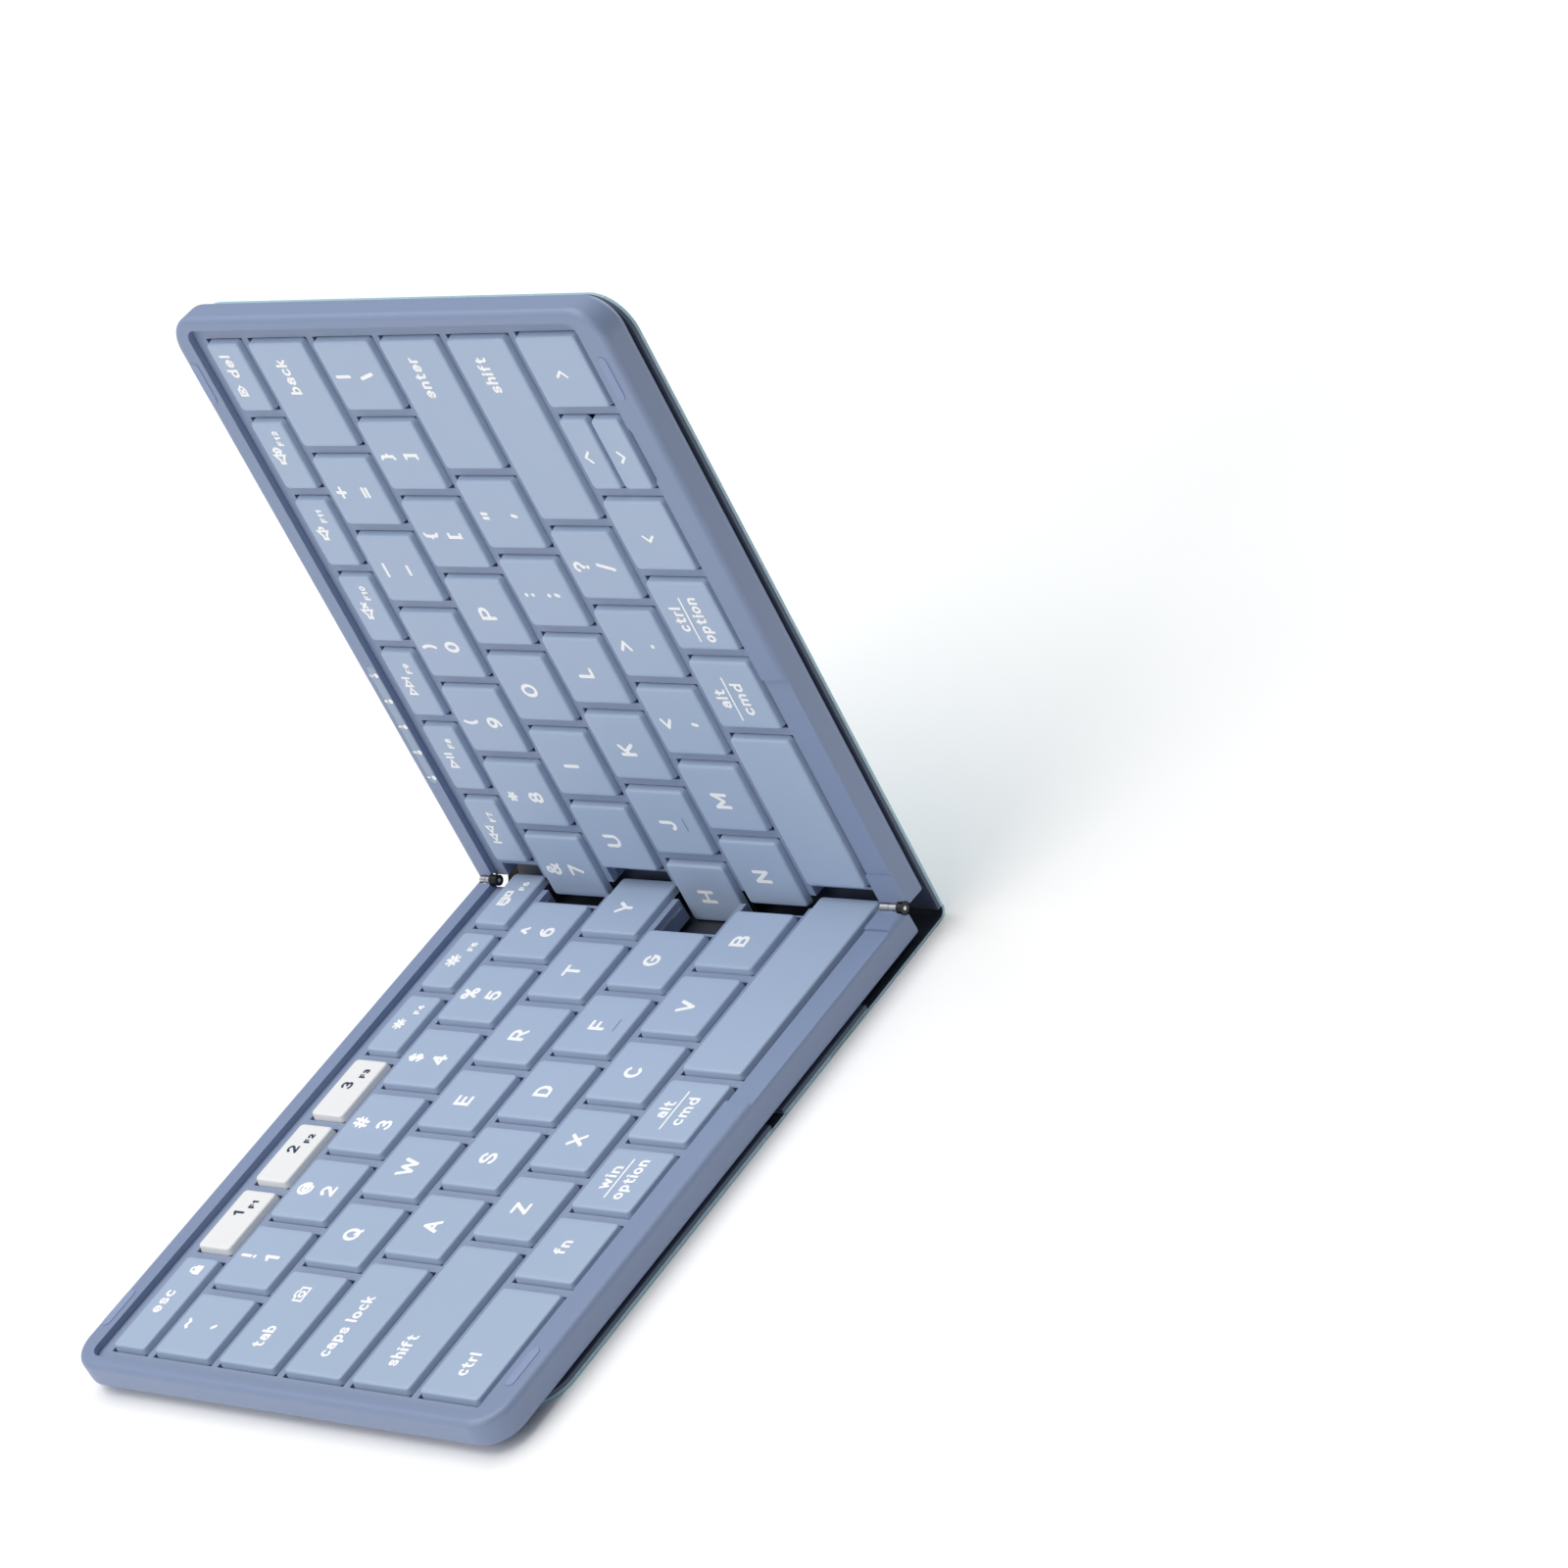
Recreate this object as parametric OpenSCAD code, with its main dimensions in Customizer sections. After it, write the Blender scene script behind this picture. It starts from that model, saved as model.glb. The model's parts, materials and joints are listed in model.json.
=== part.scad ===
// Folding keyboard: two hinged halves of keys in a leather cover that slides and folds.
// Millimetres, +Z up. Each half is drawn flat in its own frame, with the hinge axis along Y
// at x = 0 and z = 0 and the typist at -Y. The left half lies at -X and the right half at +X.
// Modules for both halves are drawn at +X and mirrored for the left one.

/* [Fold] */
// Angle of the raised right half from flat, in degrees
fold = 87.5; // [80:0.5:90]
// Distance from the hinge axis to the end face of each half
end_gap = 0.15; // [0.1:0.05:0.3]

/* [Case] */
// Distance from the outer keys to the outer end of the case
end_margin = 5.93; // [5.6:0.01:6.3]
// Distance from the front keys to the front of the case
front_margin = 8.3; // [8:0.1:9]
// Distance from the rear keys to the rear of the case
rear_margin = 8.26; // [8:0.02:9]
// Depth of the rim top below the hinge axis
rim_drop = 0.15; // [0.1:0.05:0.3]
// Plan radius of the outer corners
corner_radius = 7; // [6:0.5:9]
// Radius of the top edge
top_round = 1.3; // [0.6:0.1:1.6]
// Radius of the bottom edge
bottom_round = 1.6; // [1.4:0.1:2.4]
// Thickness of the floor
floor_thick = 0.8; // [0.6:0.1:1]
// Width of the rim at the outer end
end_rim = 2.6; // [2.4:0.1:2.8]
// Width of the rim at the front
front_rim = 6.4; // [6:0.1:6.6]
// Width of the rim at the rear
rear_rim = 4.6; // [4:0.1:5]
// Width of the ledge that carries the deck
ledge = 1.2; // [0.8:0.1:1.3]
// Thickness of the wall at the hinge end, under the deck
end_wall = 0.85; // [0.6:0.05:1]
// Thickness of the walls round the pockets for the other half's teeth
pocket_wall = 0.4; // [0.3:0.05:0.45]
// Depth of the thumb relief in the front rim
relief_depth = 0.5; // [0.3:0.1:0.7]

/* [Keys] */
// Distance from one key to the next, both ways
key_pitch = 18; // [17.9:0.05:18.1]
// Gap between the tops of two keys
key_gap = 2.92; // [2.8:0.02:3.1]
// Depth of the key tops below the hinge axis
key_drop = 0.35; // [0.3:0.05:0.4]
// Height of a keycap
cap_height = 1.5; // [1.4:0.05:1.6]
// How far the foot of a cap stands out from its top
cap_lean = 0.36; // [0.2:0.02:0.4]
// Plan radius of a cap's corners
cap_round = 1.2; // [0.6:0.1:1.5]
// Thickness of a cap's side walls
cap_wall = 0.9; // [0.7:0.05:1]
// Thickness of a cap's top
cap_roof = 0.7; // [0.6:0.05:0.8]
// Travel of a pressed key
key_travel = 1.2; // [1:0.1:1.2]
// Depth of the short keys in the function row
function_depth = 8.74; // [8:0.1:9]
// Distance from the hinge axis to the rows that end square beside it
line_gap = 4.79; // [4.6:0.01:5]
// Distance from the origin to the front edge of the key tops
key_front = 45; // [44.8:0.1:45.2]
// Gap between the tops of the up and down keys
arrow_gap = 1.3; // [1.1:0.05:1.5]
// Distance from the hinge axis to the start of the left half's last function and upper keys
left_upper_line = 11.59; // [11.4:0.01:11.8]
// Distance from the hinge axis to the end of the left half's last home key
left_home_line = 10.1; // [10:0.01:10.3]
// Distance from the hinge axis to the end of the left half's last lower key
left_lower_line = 3.26; // [3.2:0.01:3.4]
// Distance from the hinge axis to the start of the left space bar
left_space_line = 44.87; // [44.6:0.01:45.2]
// Distance from the hinge axis to the right half's second number key
right_number_line = 14.57; // [14.4:0.01:14.8]
// Distance from the hinge axis to the right half's second home key
right_home_line = 9.47; // [9.3:0.01:9.6]
// Distance from the hinge axis to the right half's second lower key
right_lower_line = 16.17; // [16:0.01:16.4]
// Distance from the hinge axis to the start of the right space bar
right_space_line = 3.73; // [3.6:0.01:3.9]
// How far the right half's front row stands out past its other rows
front_row_shift = 0.26; // [0.2:0.01:0.4]

/* [Teeth] */
// Overhang of the left space bar past the hinge axis
space_tooth = 1.96; // [1.6:0.02:2]
// Overhang of the right half's first lower key
lower_tooth = 1.75; // [1.4:0.05:1.8]
// Overhang of the right half's first home key
home_tooth = 6.95; // [6.5:0.05:7]
// Overhang of the left half's last upper key
upper_tooth = 3.4; // [3:0.05:3.5]
// Overhang of the right half's first number key
number_tooth = 2.97; // [2.6:0.05:3]
// Overhang of the left half's last function key
function_tooth = 2.64; // [2.3:0.05:2.8]
// Clearance between a tooth and the end of its pocket
tooth_clearance = 0.2; // [0.15:0.05:0.25]
// Clearance between a tooth and the sides of its pocket
tooth_side_clearance = 0.35; // [0.25:0.05:0.4]
// Width of the deck left between the home key's deep slot and the key beside it
slot_web = 0.59; // [0.5:0.01:0.8]
// How far a tooth's tongue ends short of its cap
tongue_setback = 0.6; // [0.5:0.05:1]

/* [Layers] */
// Depth of the deck top below the hinge axis
deck_drop = 1.6; // [1.5:0.05:1.7]
// Thickness of the deck
deck_thick = 0.6; // [0.5:0.05:0.7]
// Gap round a cap in its deck hole
hole_gap = 0.25; // [0.2:0.05:0.3]
// Clearance of the deck in its well
deck_clearance = 0.1; // [0.05:0.05:0.2]
// Clearance under a fully pressed cap
press_clearance = 0.1; // [0.1:0.05:0.2]
// Thickness of the switch membrane
membrane_thick = 0.2; // [0.15:0.05:0.25]
// Thickness of the steel switch plate
plate_thick = 0.3; // [0.25:0.05:0.35]
// Height of a rubber dome
dome_height = 0.75; // [0.6:0.05:0.8]
// Radius of a rubber dome at its foot
dome_radius = 1.7; // [1.4:0.1:1.7]
// Height of a folded scissor frame
scissor_height = 0.4; // [0.3:0.05:0.5]

/* [Hinge] */
// Radius of the hinge barrels
barrel_radius = 0.7; // [0.6:0.05:0.7]
// Radius of the hinge pins
pin_radius = 0.4; // [0.35:0.05:0.4]
// Radial clearance of a pin in the right half's barrels
pin_clearance = 0.05; // [0.03:0.01:0.06]
// Radius of the black end bushes
bush_radius = 1.1; // [1:0.05:1.2]
// Clearance round the barrels and bushes in the case
groove_clearance = 0.25; // [0.2:0.05:0.3]
// Thickness of the hinge arms
arm_thick = 0.6; // [0.5:0.05:0.7]
// Length of the hinge arms inside the case
arm_length = 14; // [10:1:20]
// Thickness of the steel bars on the walls of the tooth pockets
bar_thick = 0.25; // [0.2:0.05:0.25]

/* [Cover] */
// Gap between the case and the cover plates
cover_gap = 0.3; // [0.25:0.05:0.5]
// Thickness of the cover plates
cover_plate = 0.8; // [0.7:0.05:1]
// Thickness of the leather on the plates
leather = 0.8; // [0.7:0.05:1]
// Thickness of the leather where it bends
bend_leather = 0.6; // [0.4:0.05:0.6]
// How far the cover ends short of the case at the front
cover_front_inset = 0.1; // [0:0.1:0.6]
// How far the cover ends short of the case at the rear
cover_rear_inset = 0.5; // [0:0.1:0.8]
// Plan radius of the cover's corners
cover_corner = 8; // [5:0.5:10]
// How far the right cover plate ends short of the case's outer end
right_cover_inset = 1.5; // [1:0.1:2.5]
// Overhang of the right cover plate past the hinge axis
right_cover_tail = 5.8; // [5:0.1:6]
// Distance from the hinge axis to the near edge of the inner panel
inner_near = 19; // [18:0.5:20]
// Distance from the hinge axis to the far edge of the inner panel
inner_far = 46.8; // [45:0.1:48]
// Width of the crease between the two left panels
crease = 4; // [3:0.5:5]
// How far the outer panel ends short of the case's outer end at rest
outer_inset = 11.5; // [11:0.1:12.5]

/* [Slide] */
// Travel of the left cover panels from rest to flat
slide_out = 12.3; // [12.2:0.1:13]
// Travel of the left cover panels from rest to closed
slide_in = 13; // [13:0.1:13.5]
// Radius of the slide rivets' shanks
rivet_radius = 1; // [0.8:0.1:1.2]
// Radius of the slide rivets' heads
rivet_head = 2; // [1.8:0.1:2.2]
// Clearance of a rivet in its slot
rivet_clearance = 0.15; // [0.1:0.05:0.2]

/* [Inside] */
// Length of the battery
battery_length = 70; // [50:5:75]
// Width of the battery
battery_width = 60; // [40:5:65]
// Thickness of the battery
battery_thick = 1.5; // [1.4:0.1:2]
// Clearance between the battery and the floor
battery_clearance = 0.2; // [0.1:0.05:0.4]
// Distance from the ends of the main board to the screws beside it
board_clearance = 7; // [6:0.5:8]
// Width of the main board
board_width = 36; // [30:2:38]
// Thickness of the main board
board_thick = 0.8; // [0.6:0.1:0.9]
// Width of the charging socket
socket_width = 8.9; // [8.8:0.1:9.2]
// Height of the charging socket
socket_height = 3; // [2.9:0.05:3]

/* [Hidden] */
$fn = 48;
cut = 1;
key_top = key_pitch - key_gap;
key_reach = line_gap + 7 * key_pitch - key_gap;
half_length = key_reach + end_margin;
front_reach = key_front + front_margin;
rear_reach = 5 * key_pitch - key_front + function_depth + rear_margin;
rim_z = -rim_drop;
front_y = -front_reach;
rear_y = rear_reach;
well_front = front_y + front_rim;
well_rear = rear_y - rear_rim;
well_end = half_length - end_rim;
well_round = 2.5;
cavity_front = well_front + ledge - 0.2;
cavity_rear = well_rear - ledge - 0.2;
cavity_end = well_end - ledge - 0.3;
cavity_near = end_gap + end_wall;

deck_z = -deck_drop;
deck_bottom = deck_z - deck_thick;
cap_top = -key_drop;
cap_foot = cap_top - cap_height;
cap_ceiling = cap_top - cap_roof;
membrane_z = cap_foot - key_travel - press_clearance;
plate_z = membrane_z - membrane_thick;
plate_bottom = plate_z - plate_thick;
layer_gap = 0.15;
battery_z = [plate_bottom - layer_gap - battery_thick, plate_bottom - layer_gap];
floor_top = battery_z[0] - battery_clearance;
case_bottom = floor_top - floor_thick;
case_height = rim_z - case_bottom;
dome_top = membrane_z + dome_height;
plunger_foot = dome_top + key_travel + press_clearance / 2;

// Key layout: each key is the span of its top along X, and each row has its span along Y.
function row_y(row) = [row * key_pitch - key_front,
    row * key_pitch - key_front + (row == 5 ? function_depth : key_top)];
function regular(start, count) = [for (i = [0 : count - 1])
    [start + i * key_pitch, start + i * key_pitch + key_top]];
function grown(span, by) = [span[0] - by, span[1] + by];
function left_row(last_start, count) = regular(last_start - count * key_pitch, count);
function filled_left(first_start) = [-key_reach, first_start - key_gap];
upper_first = -left_upper_line - 5 * key_pitch;
escape_key_x = filled_left(upper_first);
left_function_x = concat(left_row(-left_upper_line, 5), [[-left_upper_line, function_tooth]]);
left_number_x = regular(-key_reach, 7);
left_upper_x = concat(left_row(-left_upper_line, 5), [[-left_upper_line, upper_tooth]]);
left_home_x = left_row(key_gap - left_home_line, 5);
caps_key_x = filled_left(left_home_x[0][0]);
left_lower_x = left_row(key_gap - left_lower_line, 5);
left_shift_x = filled_left(left_lower_x[0][0]);
left_space_x = [-left_space_line, space_tooth];
ctrl_key_x = filled_left(-left_space_line - 3 * key_pitch);
left_modifier_x = concat([ctrl_key_x], left_row(-left_space_line, 3));
right_function_x = regular(line_gap, 7);
right_upper_x = right_function_x;
right_number_x = concat([[-number_tooth, right_number_line - key_gap]], regular(right_number_line, 5));
back_key_x = [right_number_line + 5 * key_pitch, key_reach];
right_home_x = concat([[-home_tooth, right_home_line - key_gap]], regular(right_home_line, 5));
enter_key_x = [right_home_line + 5 * key_pitch, key_reach];
right_lower_x = concat([[-lower_tooth, right_lower_line - key_gap]], regular(right_lower_line, 4));
right_shift_x = [right_lower_line + 4 * key_pitch, key_reach];
right_alt_x = key_reach + front_row_shift - key_top - 4 * key_pitch;
right_modifier_x = regular(right_alt_x, 2);
arrow_x = regular(right_alt_x + 2 * key_pitch, 3);
right_space_x = [right_space_line, right_alt_x - key_gap];
arrow_depth = (key_top - arrow_gap) / 2;
arrow_rows = [[row_y(0)[0], row_y(0)[0] + arrow_depth], [row_y(0)[1] - arrow_depth, row_y(0)[1]]];
left_rows = [concat(left_modifier_x, [left_space_x]), concat([left_shift_x], left_lower_x),
    concat([caps_key_x], left_home_x), concat([escape_key_x], left_upper_x), left_number_x,
    concat([escape_key_x], left_function_x)];
right_rows = [concat([right_space_x], right_modifier_x, arrow_x),
    concat(right_lower_x, [right_shift_x]), concat(right_home_x, [enter_key_x]), right_upper_x,
    concat(right_number_x, [back_key_x]), right_function_x];

// Overhangs of the teeth and lengths of the pockets, row by row from the front.
tooth_room = cap_lean + tooth_clearance;
left_teeth = [space_tooth, 0, 0, upper_tooth, 0, function_tooth];
right_teeth = [0, lower_tooth, home_tooth, 0, number_tooth, 0];
home_slot = left_home_line - cap_lean - hole_gap - slot_web;
left_pockets = [0, lower_tooth + tooth_room, home_slot, 0, number_tooth + tooth_room, 0];
right_pockets = [space_tooth + tooth_room, 0, 0, upper_tooth + tooth_room, 0,
    function_tooth + tooth_room];
pocket_side = cap_lean + tooth_side_clearance;

// Hinge points: each barrel and bush is its span along Y.
front_bush = [front_y + 0.3, front_y + 1.7];
front_right_barrel = [front_bush[1] + 0.05, front_bush[1] + 2.2];
front_left_barrel = [front_right_barrel[1] + 0.1, front_right_barrel[1] + 2.2];
rear_bush = [rear_y - 6.2, rear_y - 4.2];
rear_left_barrel = [rear_bush[1] + 0.05, rear_bush[1] + 1.45];
rear_right_barrel = [rear_left_barrel[1] + 0.1, rear_left_barrel[1] + 1.55];
front_slot = [front_right_barrel[0] - 0.15, cavity_front + 0.1];
rear_slot = [cavity_rear - 0.1, rear_right_barrel[1] + 0.1];
arm_foot_z = -3;
arm_slot_z = [arm_foot_z - 0.1, deck_bottom];
bar_setback = 0.8;
bar_z = [deck_bottom - 1.1, deck_bottom - 0.7];

// Screws, pads and magnets, as distances from the hinge axis and places along Y.
screw_x = [12, 18, 60, 62];
screw_inset = 9.8;
screw_front_insets = [16.3, 13.3];
screw_rear_insets = [14, 18];
screw_outer = half_length - screw_inset;
screw_places = [[screw_x[0], front_y + screw_front_insets[0]], [screw_x[1], rear_y - screw_rear_insets[0]],
    [screw_x[2], front_y + screw_front_insets[0]], [screw_x[3], rear_y - screw_rear_insets[1]],
    [screw_outer, front_y + screw_front_insets[1]], [screw_outer, rear_y - screw_rear_insets[0]]];
screw_radius = 0.7;
screw_head = 1.4;
boss_radius = 2;
pad_inset = 14.5;
pad_x = half_length - pad_inset;
pad_y = [front_y + 3.8, rear_y - 2];
pad_size = [9.2, 2];
pad_stand = 0.1;
pad_thick = 0.85;
magnet_size = [10, 3, 1.6];
magnet_y = [front_y + 4.6, rear_y - 3];
magnet_top = -2.4;
indicator_x = [23.8, 52.6];
indicator_insets = [4.25, 2.05];
indicator_y = [rear_y - indicator_insets[0], rear_y - indicator_insets[1]];
indicator_round = (indicator_y[1] - indicator_y[0]) / 2 - 0.05;
indicator_thick = 0.6;
socket_x = 60;
socket_z = deck_bottom - 0.1 - socket_height / 2;
socket_mouth = rear_y - 0.8;
socket_length = 6.6;
flex_y = [rear_y - 7, rear_y - 4];
flex_tab = [4, 5];
flex_radius = 4.5;
flex_thick = 0.16;
flex_reach = 13;
board_x = board_clearance - screw_outer;
board_length = screw_outer - screw_x[3] - 2 * board_clearance;
board_rear_inset = 6;
board_y = cavity_rear - board_rear_inset - board_width;
board_top = plate_bottom - layer_gap;
battery_x = 30;
battery_y = -battery_width / 2;

left_relief = [5.85, 52];
right_relief = [7.2, 52.5];
scallop_radius = 9.3;
scallop_y = well_front + 7.1;
slide_pad_insets = [13.8, 12, 7.3, 8];
slide_pad_width = 6;
slide_pad_x = [slide_pad_insets[0] - half_length, -slide_pad_insets[1]];
slide_pad_y = [[front_y + slide_pad_insets[2], front_y + slide_pad_insets[2] + slide_pad_width],
    [rear_y - slide_pad_insets[3] - slide_pad_width, rear_y - slide_pad_insets[3]]];
tape_insets = [3, 5.8, 4.3, 4];
tape_x = [tape_insets[0], half_length - tape_insets[1]];
tape_y = [front_y + tape_insets[2], rear_y - tape_insets[3]];

cover_front = front_reach - cover_front_inset;
cover_rear = rear_reach - cover_rear_inset;
right_cover_reach = half_length - right_cover_inset;
outer_far = half_length - outer_inset;
cover_top = case_bottom - cover_gap;
cover_bottom = cover_top - cover_plate;
leather_bottom = cover_bottom - leather;
outer_near = inner_far + crease;
bend_top = leather_bottom + bend_leather;
rivet_x = -(inner_near + inner_far) / 2;
rivet_y = [-20, 35];
rivet_head_z = [floor_top + 0.05, floor_top + 0.55];

// At rest the assembly is centred over the origin and stands on z = 0.
rest_right = right_cover_reach * cos(fold) - leather_bottom * sin(fold);
rest_x = (half_length - rest_right) / 2;
rest_y = -(front_y + rear_y) / 2;
rest_z = -leather_bottom;

case_color = [0.53, 0.58, 0.71];
deck_color = [0.47, 0.53, 0.66];
cap_color = [0.64, 0.71, 0.82];
leather_color = [0.67, 0.78, 0.84];
plate_color = [0.31, 0.35, 0.44];
steel_color = [0.78, 0.79, 0.81];
black_color = [0.08, 0.08, 0.1];
white_color = [0.93, 0.93, 0.93];
green_color = [0.1, 0.35, 0.25];

// Moves a piece drawn in the left half's frame to its place at rest.
module place_left() {
    translate([rest_x, rest_y, rest_z]) children();
}

// Moves a piece drawn in the right half's frame to its place at rest.
module place_right() {
    translate([rest_x, rest_y, rest_z]) rotate([0, -fold, 0]) children();
}

// A box given by its spans along the three axes.
module block(x, y, z) {
    translate([x[0], y[0], z[0]]) cube([x[1] - x[0], y[1] - y[0], z[1] - z[0]]);
}

// A rod along Y round the hinge axis.
module rod(radius, y) {
    translate([0, y[1], 0]) rotate([90, 0, 0]) cylinder(r = radius, h = y[1] - y[0]);
}

// A rectangle with all four corners rounded.
module rounded_plan(x, y, radius) {
    translate([x[0] + radius, y[0]]) square([x[1] - x[0] - 2 * radius, y[1] - y[0]]);
    translate([x[0], y[0] + radius]) square([x[1] - x[0], y[1] - y[0] - 2 * radius]);
    for (cx = [x[0] + radius, x[1] - radius], cy = [y[0] + radius, y[1] - radius])
        translate([cx, cy]) circle(radius);
}

// A rectangle with only the two corners at its far end in X rounded.
module end_rounded_plan(x, y, radius) {
    translate([x[0], y[0]]) square([x[1] - x[0] - radius, y[1] - y[0]]);
    translate([x[0], y[0] + radius]) square([x[1] - x[0], y[1] - y[0] - 2 * radius]);
    for (cy = [y[0] + radius, y[1] - radius]) translate([x[1] - radius, cy]) circle(radius);
}

// A flat sheet from one of the plans above, between two heights.
module sheet(z) {
    translate([0, 0, z[0]]) linear_extrude(z[1] - z[0]) children();
}

// Section of the case edge, with its rounded top and bottom, out to the corner radius.
module edge_section() {
    translate([0, case_bottom]) square([corner_radius - bottom_round, case_height]);
    translate([0, case_bottom + bottom_round])
        square([corner_radius, case_height - bottom_round - top_round]);
    translate([0, case_bottom + bottom_round])
        square([corner_radius - top_round, case_height - bottom_round]);
    translate([corner_radius - bottom_round, case_bottom + bottom_round]) circle(bottom_round);
    translate([corner_radius - top_round, rim_z - top_round]) circle(top_round);
}

// The solid outer form of a half.
module case_form() {
    corner_x = half_length - corner_radius;
    corner_ys = [front_y + corner_radius, rear_y - corner_radius];
    block([end_gap, corner_x], corner_ys, [case_bottom, rim_z]);
    translate([corner_x, corner_ys[0], 0]) rotate([90, 0, -90])
        linear_extrude(corner_x - end_gap) edge_section();
    translate([end_gap, corner_ys[1], 0]) rotate([90, 0, 90])
        linear_extrude(corner_x - end_gap) edge_section();
    translate([corner_x, corner_ys[1], 0]) rotate([90, 0, 0])
        linear_extrude(corner_ys[1] - corner_ys[0]) edge_section();
    translate([corner_x, corner_ys[1], 0]) rotate_extrude(angle = 90) edge_section();
    translate([corner_x, corner_ys[0], 0]) rotate([0, 0, -90])
        rotate_extrude(angle = 90) edge_section();
}

// Grooves and slots that the hinge parts need in either half.
module hinge_room() {
    rod(bush_radius + groove_clearance, [front_y - cut, front_bush[1]]);
    rod(barrel_radius + groove_clearance, [front_bush[1] - 0.1, front_left_barrel[1] + 0.1]);
    rod(bush_radius + groove_clearance, [rear_bush[0] - 0.1, rear_bush[1]]);
    rod(barrel_radius + groove_clearance, [rear_bush[1] - 0.1, rear_right_barrel[1] + 0.1]);
    for (y = [front_slot, rear_slot])
        block([-cut, arm_length + 0.2], y, arm_slot_z);
    for (y = [[front_slot[0], front_left_barrel[1] + 0.1], [rear_left_barrel[0] - 0.1, rear_slot[1]]])
        block([-cut, 0.1 + arm_thick + 0.1], y, [arm_slot_z[0], cut]);
    block([-cut, flex_reach + 0.1], grown(flex_y, 0.1), [-flex_radius - 0.35, -flex_radius + 0.35]);
}

// The open space inside a half, with the pockets left standing as boxes.
module case_room(pockets) {
    sheet([deck_bottom, cut])
        end_rounded_plan([-cut, well_end], [well_front, well_rear], well_round);
    difference() {
        block([cavity_near, cavity_end], [cavity_front, cavity_rear], [floor_top, deck_bottom]);
        for (row = [0 : 5]) if (pockets[row] > 0)
            block([0, pockets[row] + pocket_wall], grown(row_y(row), pocket_side + pocket_wall),
                [case_bottom, deck_bottom]);
        for (place = screw_places) translate([place[0], place[1], floor_top])
            cylinder(r = boss_radius, h = plate_bottom - floor_top);
    }
}

// Openings at the hinge end: low gates under the half's own teeth, pockets for the others.
module tooth_gates(pockets, through_row) {
    for (row = [0 : 5]) block([-cut, pockets[row] > 0 ? pockets[row] : cavity_near + 0.1],
        grown(row_y(row), pockets[row] > 0 ? pocket_side : cap_lean + hole_gap),
        [row == through_row ? case_bottom - cut
            : pockets[row] > 0 ? floor_top : plate_bottom - layer_gap, cut]);
}

// Holes for the case screws, with counterbores for their heads.
module screw_holes() {
    for (place = screw_places) translate([place[0], place[1], case_bottom - cut]) {
        cylinder(r = screw_radius, h = case_height);
        cylinder(r = screw_head + 0.1, h = cut + 0.5);
    }
}

// An oval pad standing in or filling its recess in the rim.
module pads(grow, z) {
    for (y = pad_y) sheet(z) rounded_plan(
        grown([pad_x - pad_size[0] / 2, pad_x + pad_size[0] / 2], grow),
        grown([y - pad_size[1] / 2, y + pad_size[1] / 2], grow), pad_size[1] / 2 + grow - 0.01);
}

// A half's magnets, or with a grow and a reach the chambers that hold them.
module magnet_bars(grow, reach) {
    for (side = [0, 1]) block(
        grown([pad_x - magnet_size[0] / 2, pad_x + magnet_size[0] / 2], grow),
        [magnet_y[side] - magnet_size[1] / 2 - grow - (side == 1 ? reach : 0),
            magnet_y[side] + magnet_size[1] / 2 + grow + (side == 0 ? reach : 0)],
        [magnet_top - magnet_size[2] - grow, magnet_top + (reach > 0 ? magnet_size[2] / 8 : 0)]);
}

// A whole case: outer form, well, cavity, pockets, hinge room and small recesses.
module case_shell(pockets, through_row, relief) {
    difference() {
        case_form();
        case_room(pockets);
        tooth_gates(pockets, through_row);
        hinge_room();
        screw_holes();
        pads(0.05, [rim_z + pad_stand - pad_thick, cut]);
        magnet_bars(0.1, 3.2);
        block(relief, [front_y - cut, well_front + 0.1], [rim_z - relief_depth, cut]);
    }
}

// The recessed deck with a hole for each key and a notch for each pocket.
module deck(rows, pockets, side) {
    sheet([deck_bottom, deck_z]) difference() {
        end_rounded_plan([end_gap, well_end - deck_clearance],
            [well_front + deck_clearance, well_rear - deck_clearance], well_round);
        for (row = [0 : 5], span = rows[row]) deck_hole(side > 0 ? span : [-span[1], -span[0]], row_y(row));
        for (row = [0 : 5]) if (pockets[row] > 0) translate([-cut, row_y(row)[0] - pocket_side])
            square([cut + pockets[row], row_y(row)[1] - row_y(row)[0] + 2 * pocket_side]);
    }
}

// The hole in the deck round one key.
module deck_hole(x, y) {
    spread = cap_lean + hole_gap;
    translate([x[0] - spread, y[0] - spread])
        square([x[1] - x[0] + 2 * spread, y[1] - y[0] + 2 * spread]);
}

// Plan of the membrane and the switch plate, with tongues under the teeth.
module layer_plan(teeth, pockets, socket) {
    clear = pocket_wall + layer_gap;
    difference() {
        union() {
            translate([cavity_near + layer_gap, cavity_front + layer_gap])
                square([cavity_end - cavity_near - 2 * layer_gap,
                    cavity_rear - cavity_front - 2 * layer_gap]);
            for (row = [0 : 5]) if (teeth[row] > 0)
                translate([tongue_setback - teeth[row], row_y(row)[0] + 1])
                    square([teeth[row] + cavity_near + 2, row_y(row)[1] - row_y(row)[0] - 2]);
        }
        for (row = [0 : 5]) if (pockets[row] > 0)
            translate([-cut, row_y(row)[0] - pocket_side - clear])
                square([cut + pockets[row] + clear,
                    row_y(row)[1] - row_y(row)[0] + 2 * (pocket_side + clear)]);
        for (place = screw_places) translate(place) circle(screw_radius);
        if (socket) translate([socket_x - socket_width / 2 - 0.2, socket_mouth - socket_length - 0.2])
            square([socket_width + 0.4, 10]);
    }
}

// Calls its children once at the middle of each key of a half, and so twice at the short keys.
module at_keys(rows) {
    for (row = [0 : 5], span = rows[row])
        for (y = row == 0 && span == arrow_x[1] ? arrow_rows : [row_y(row)])
            translate([(span[0] + span[1]) / 2, (y[0] + y[1]) / 2, membrane_z]) children();
}

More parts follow.
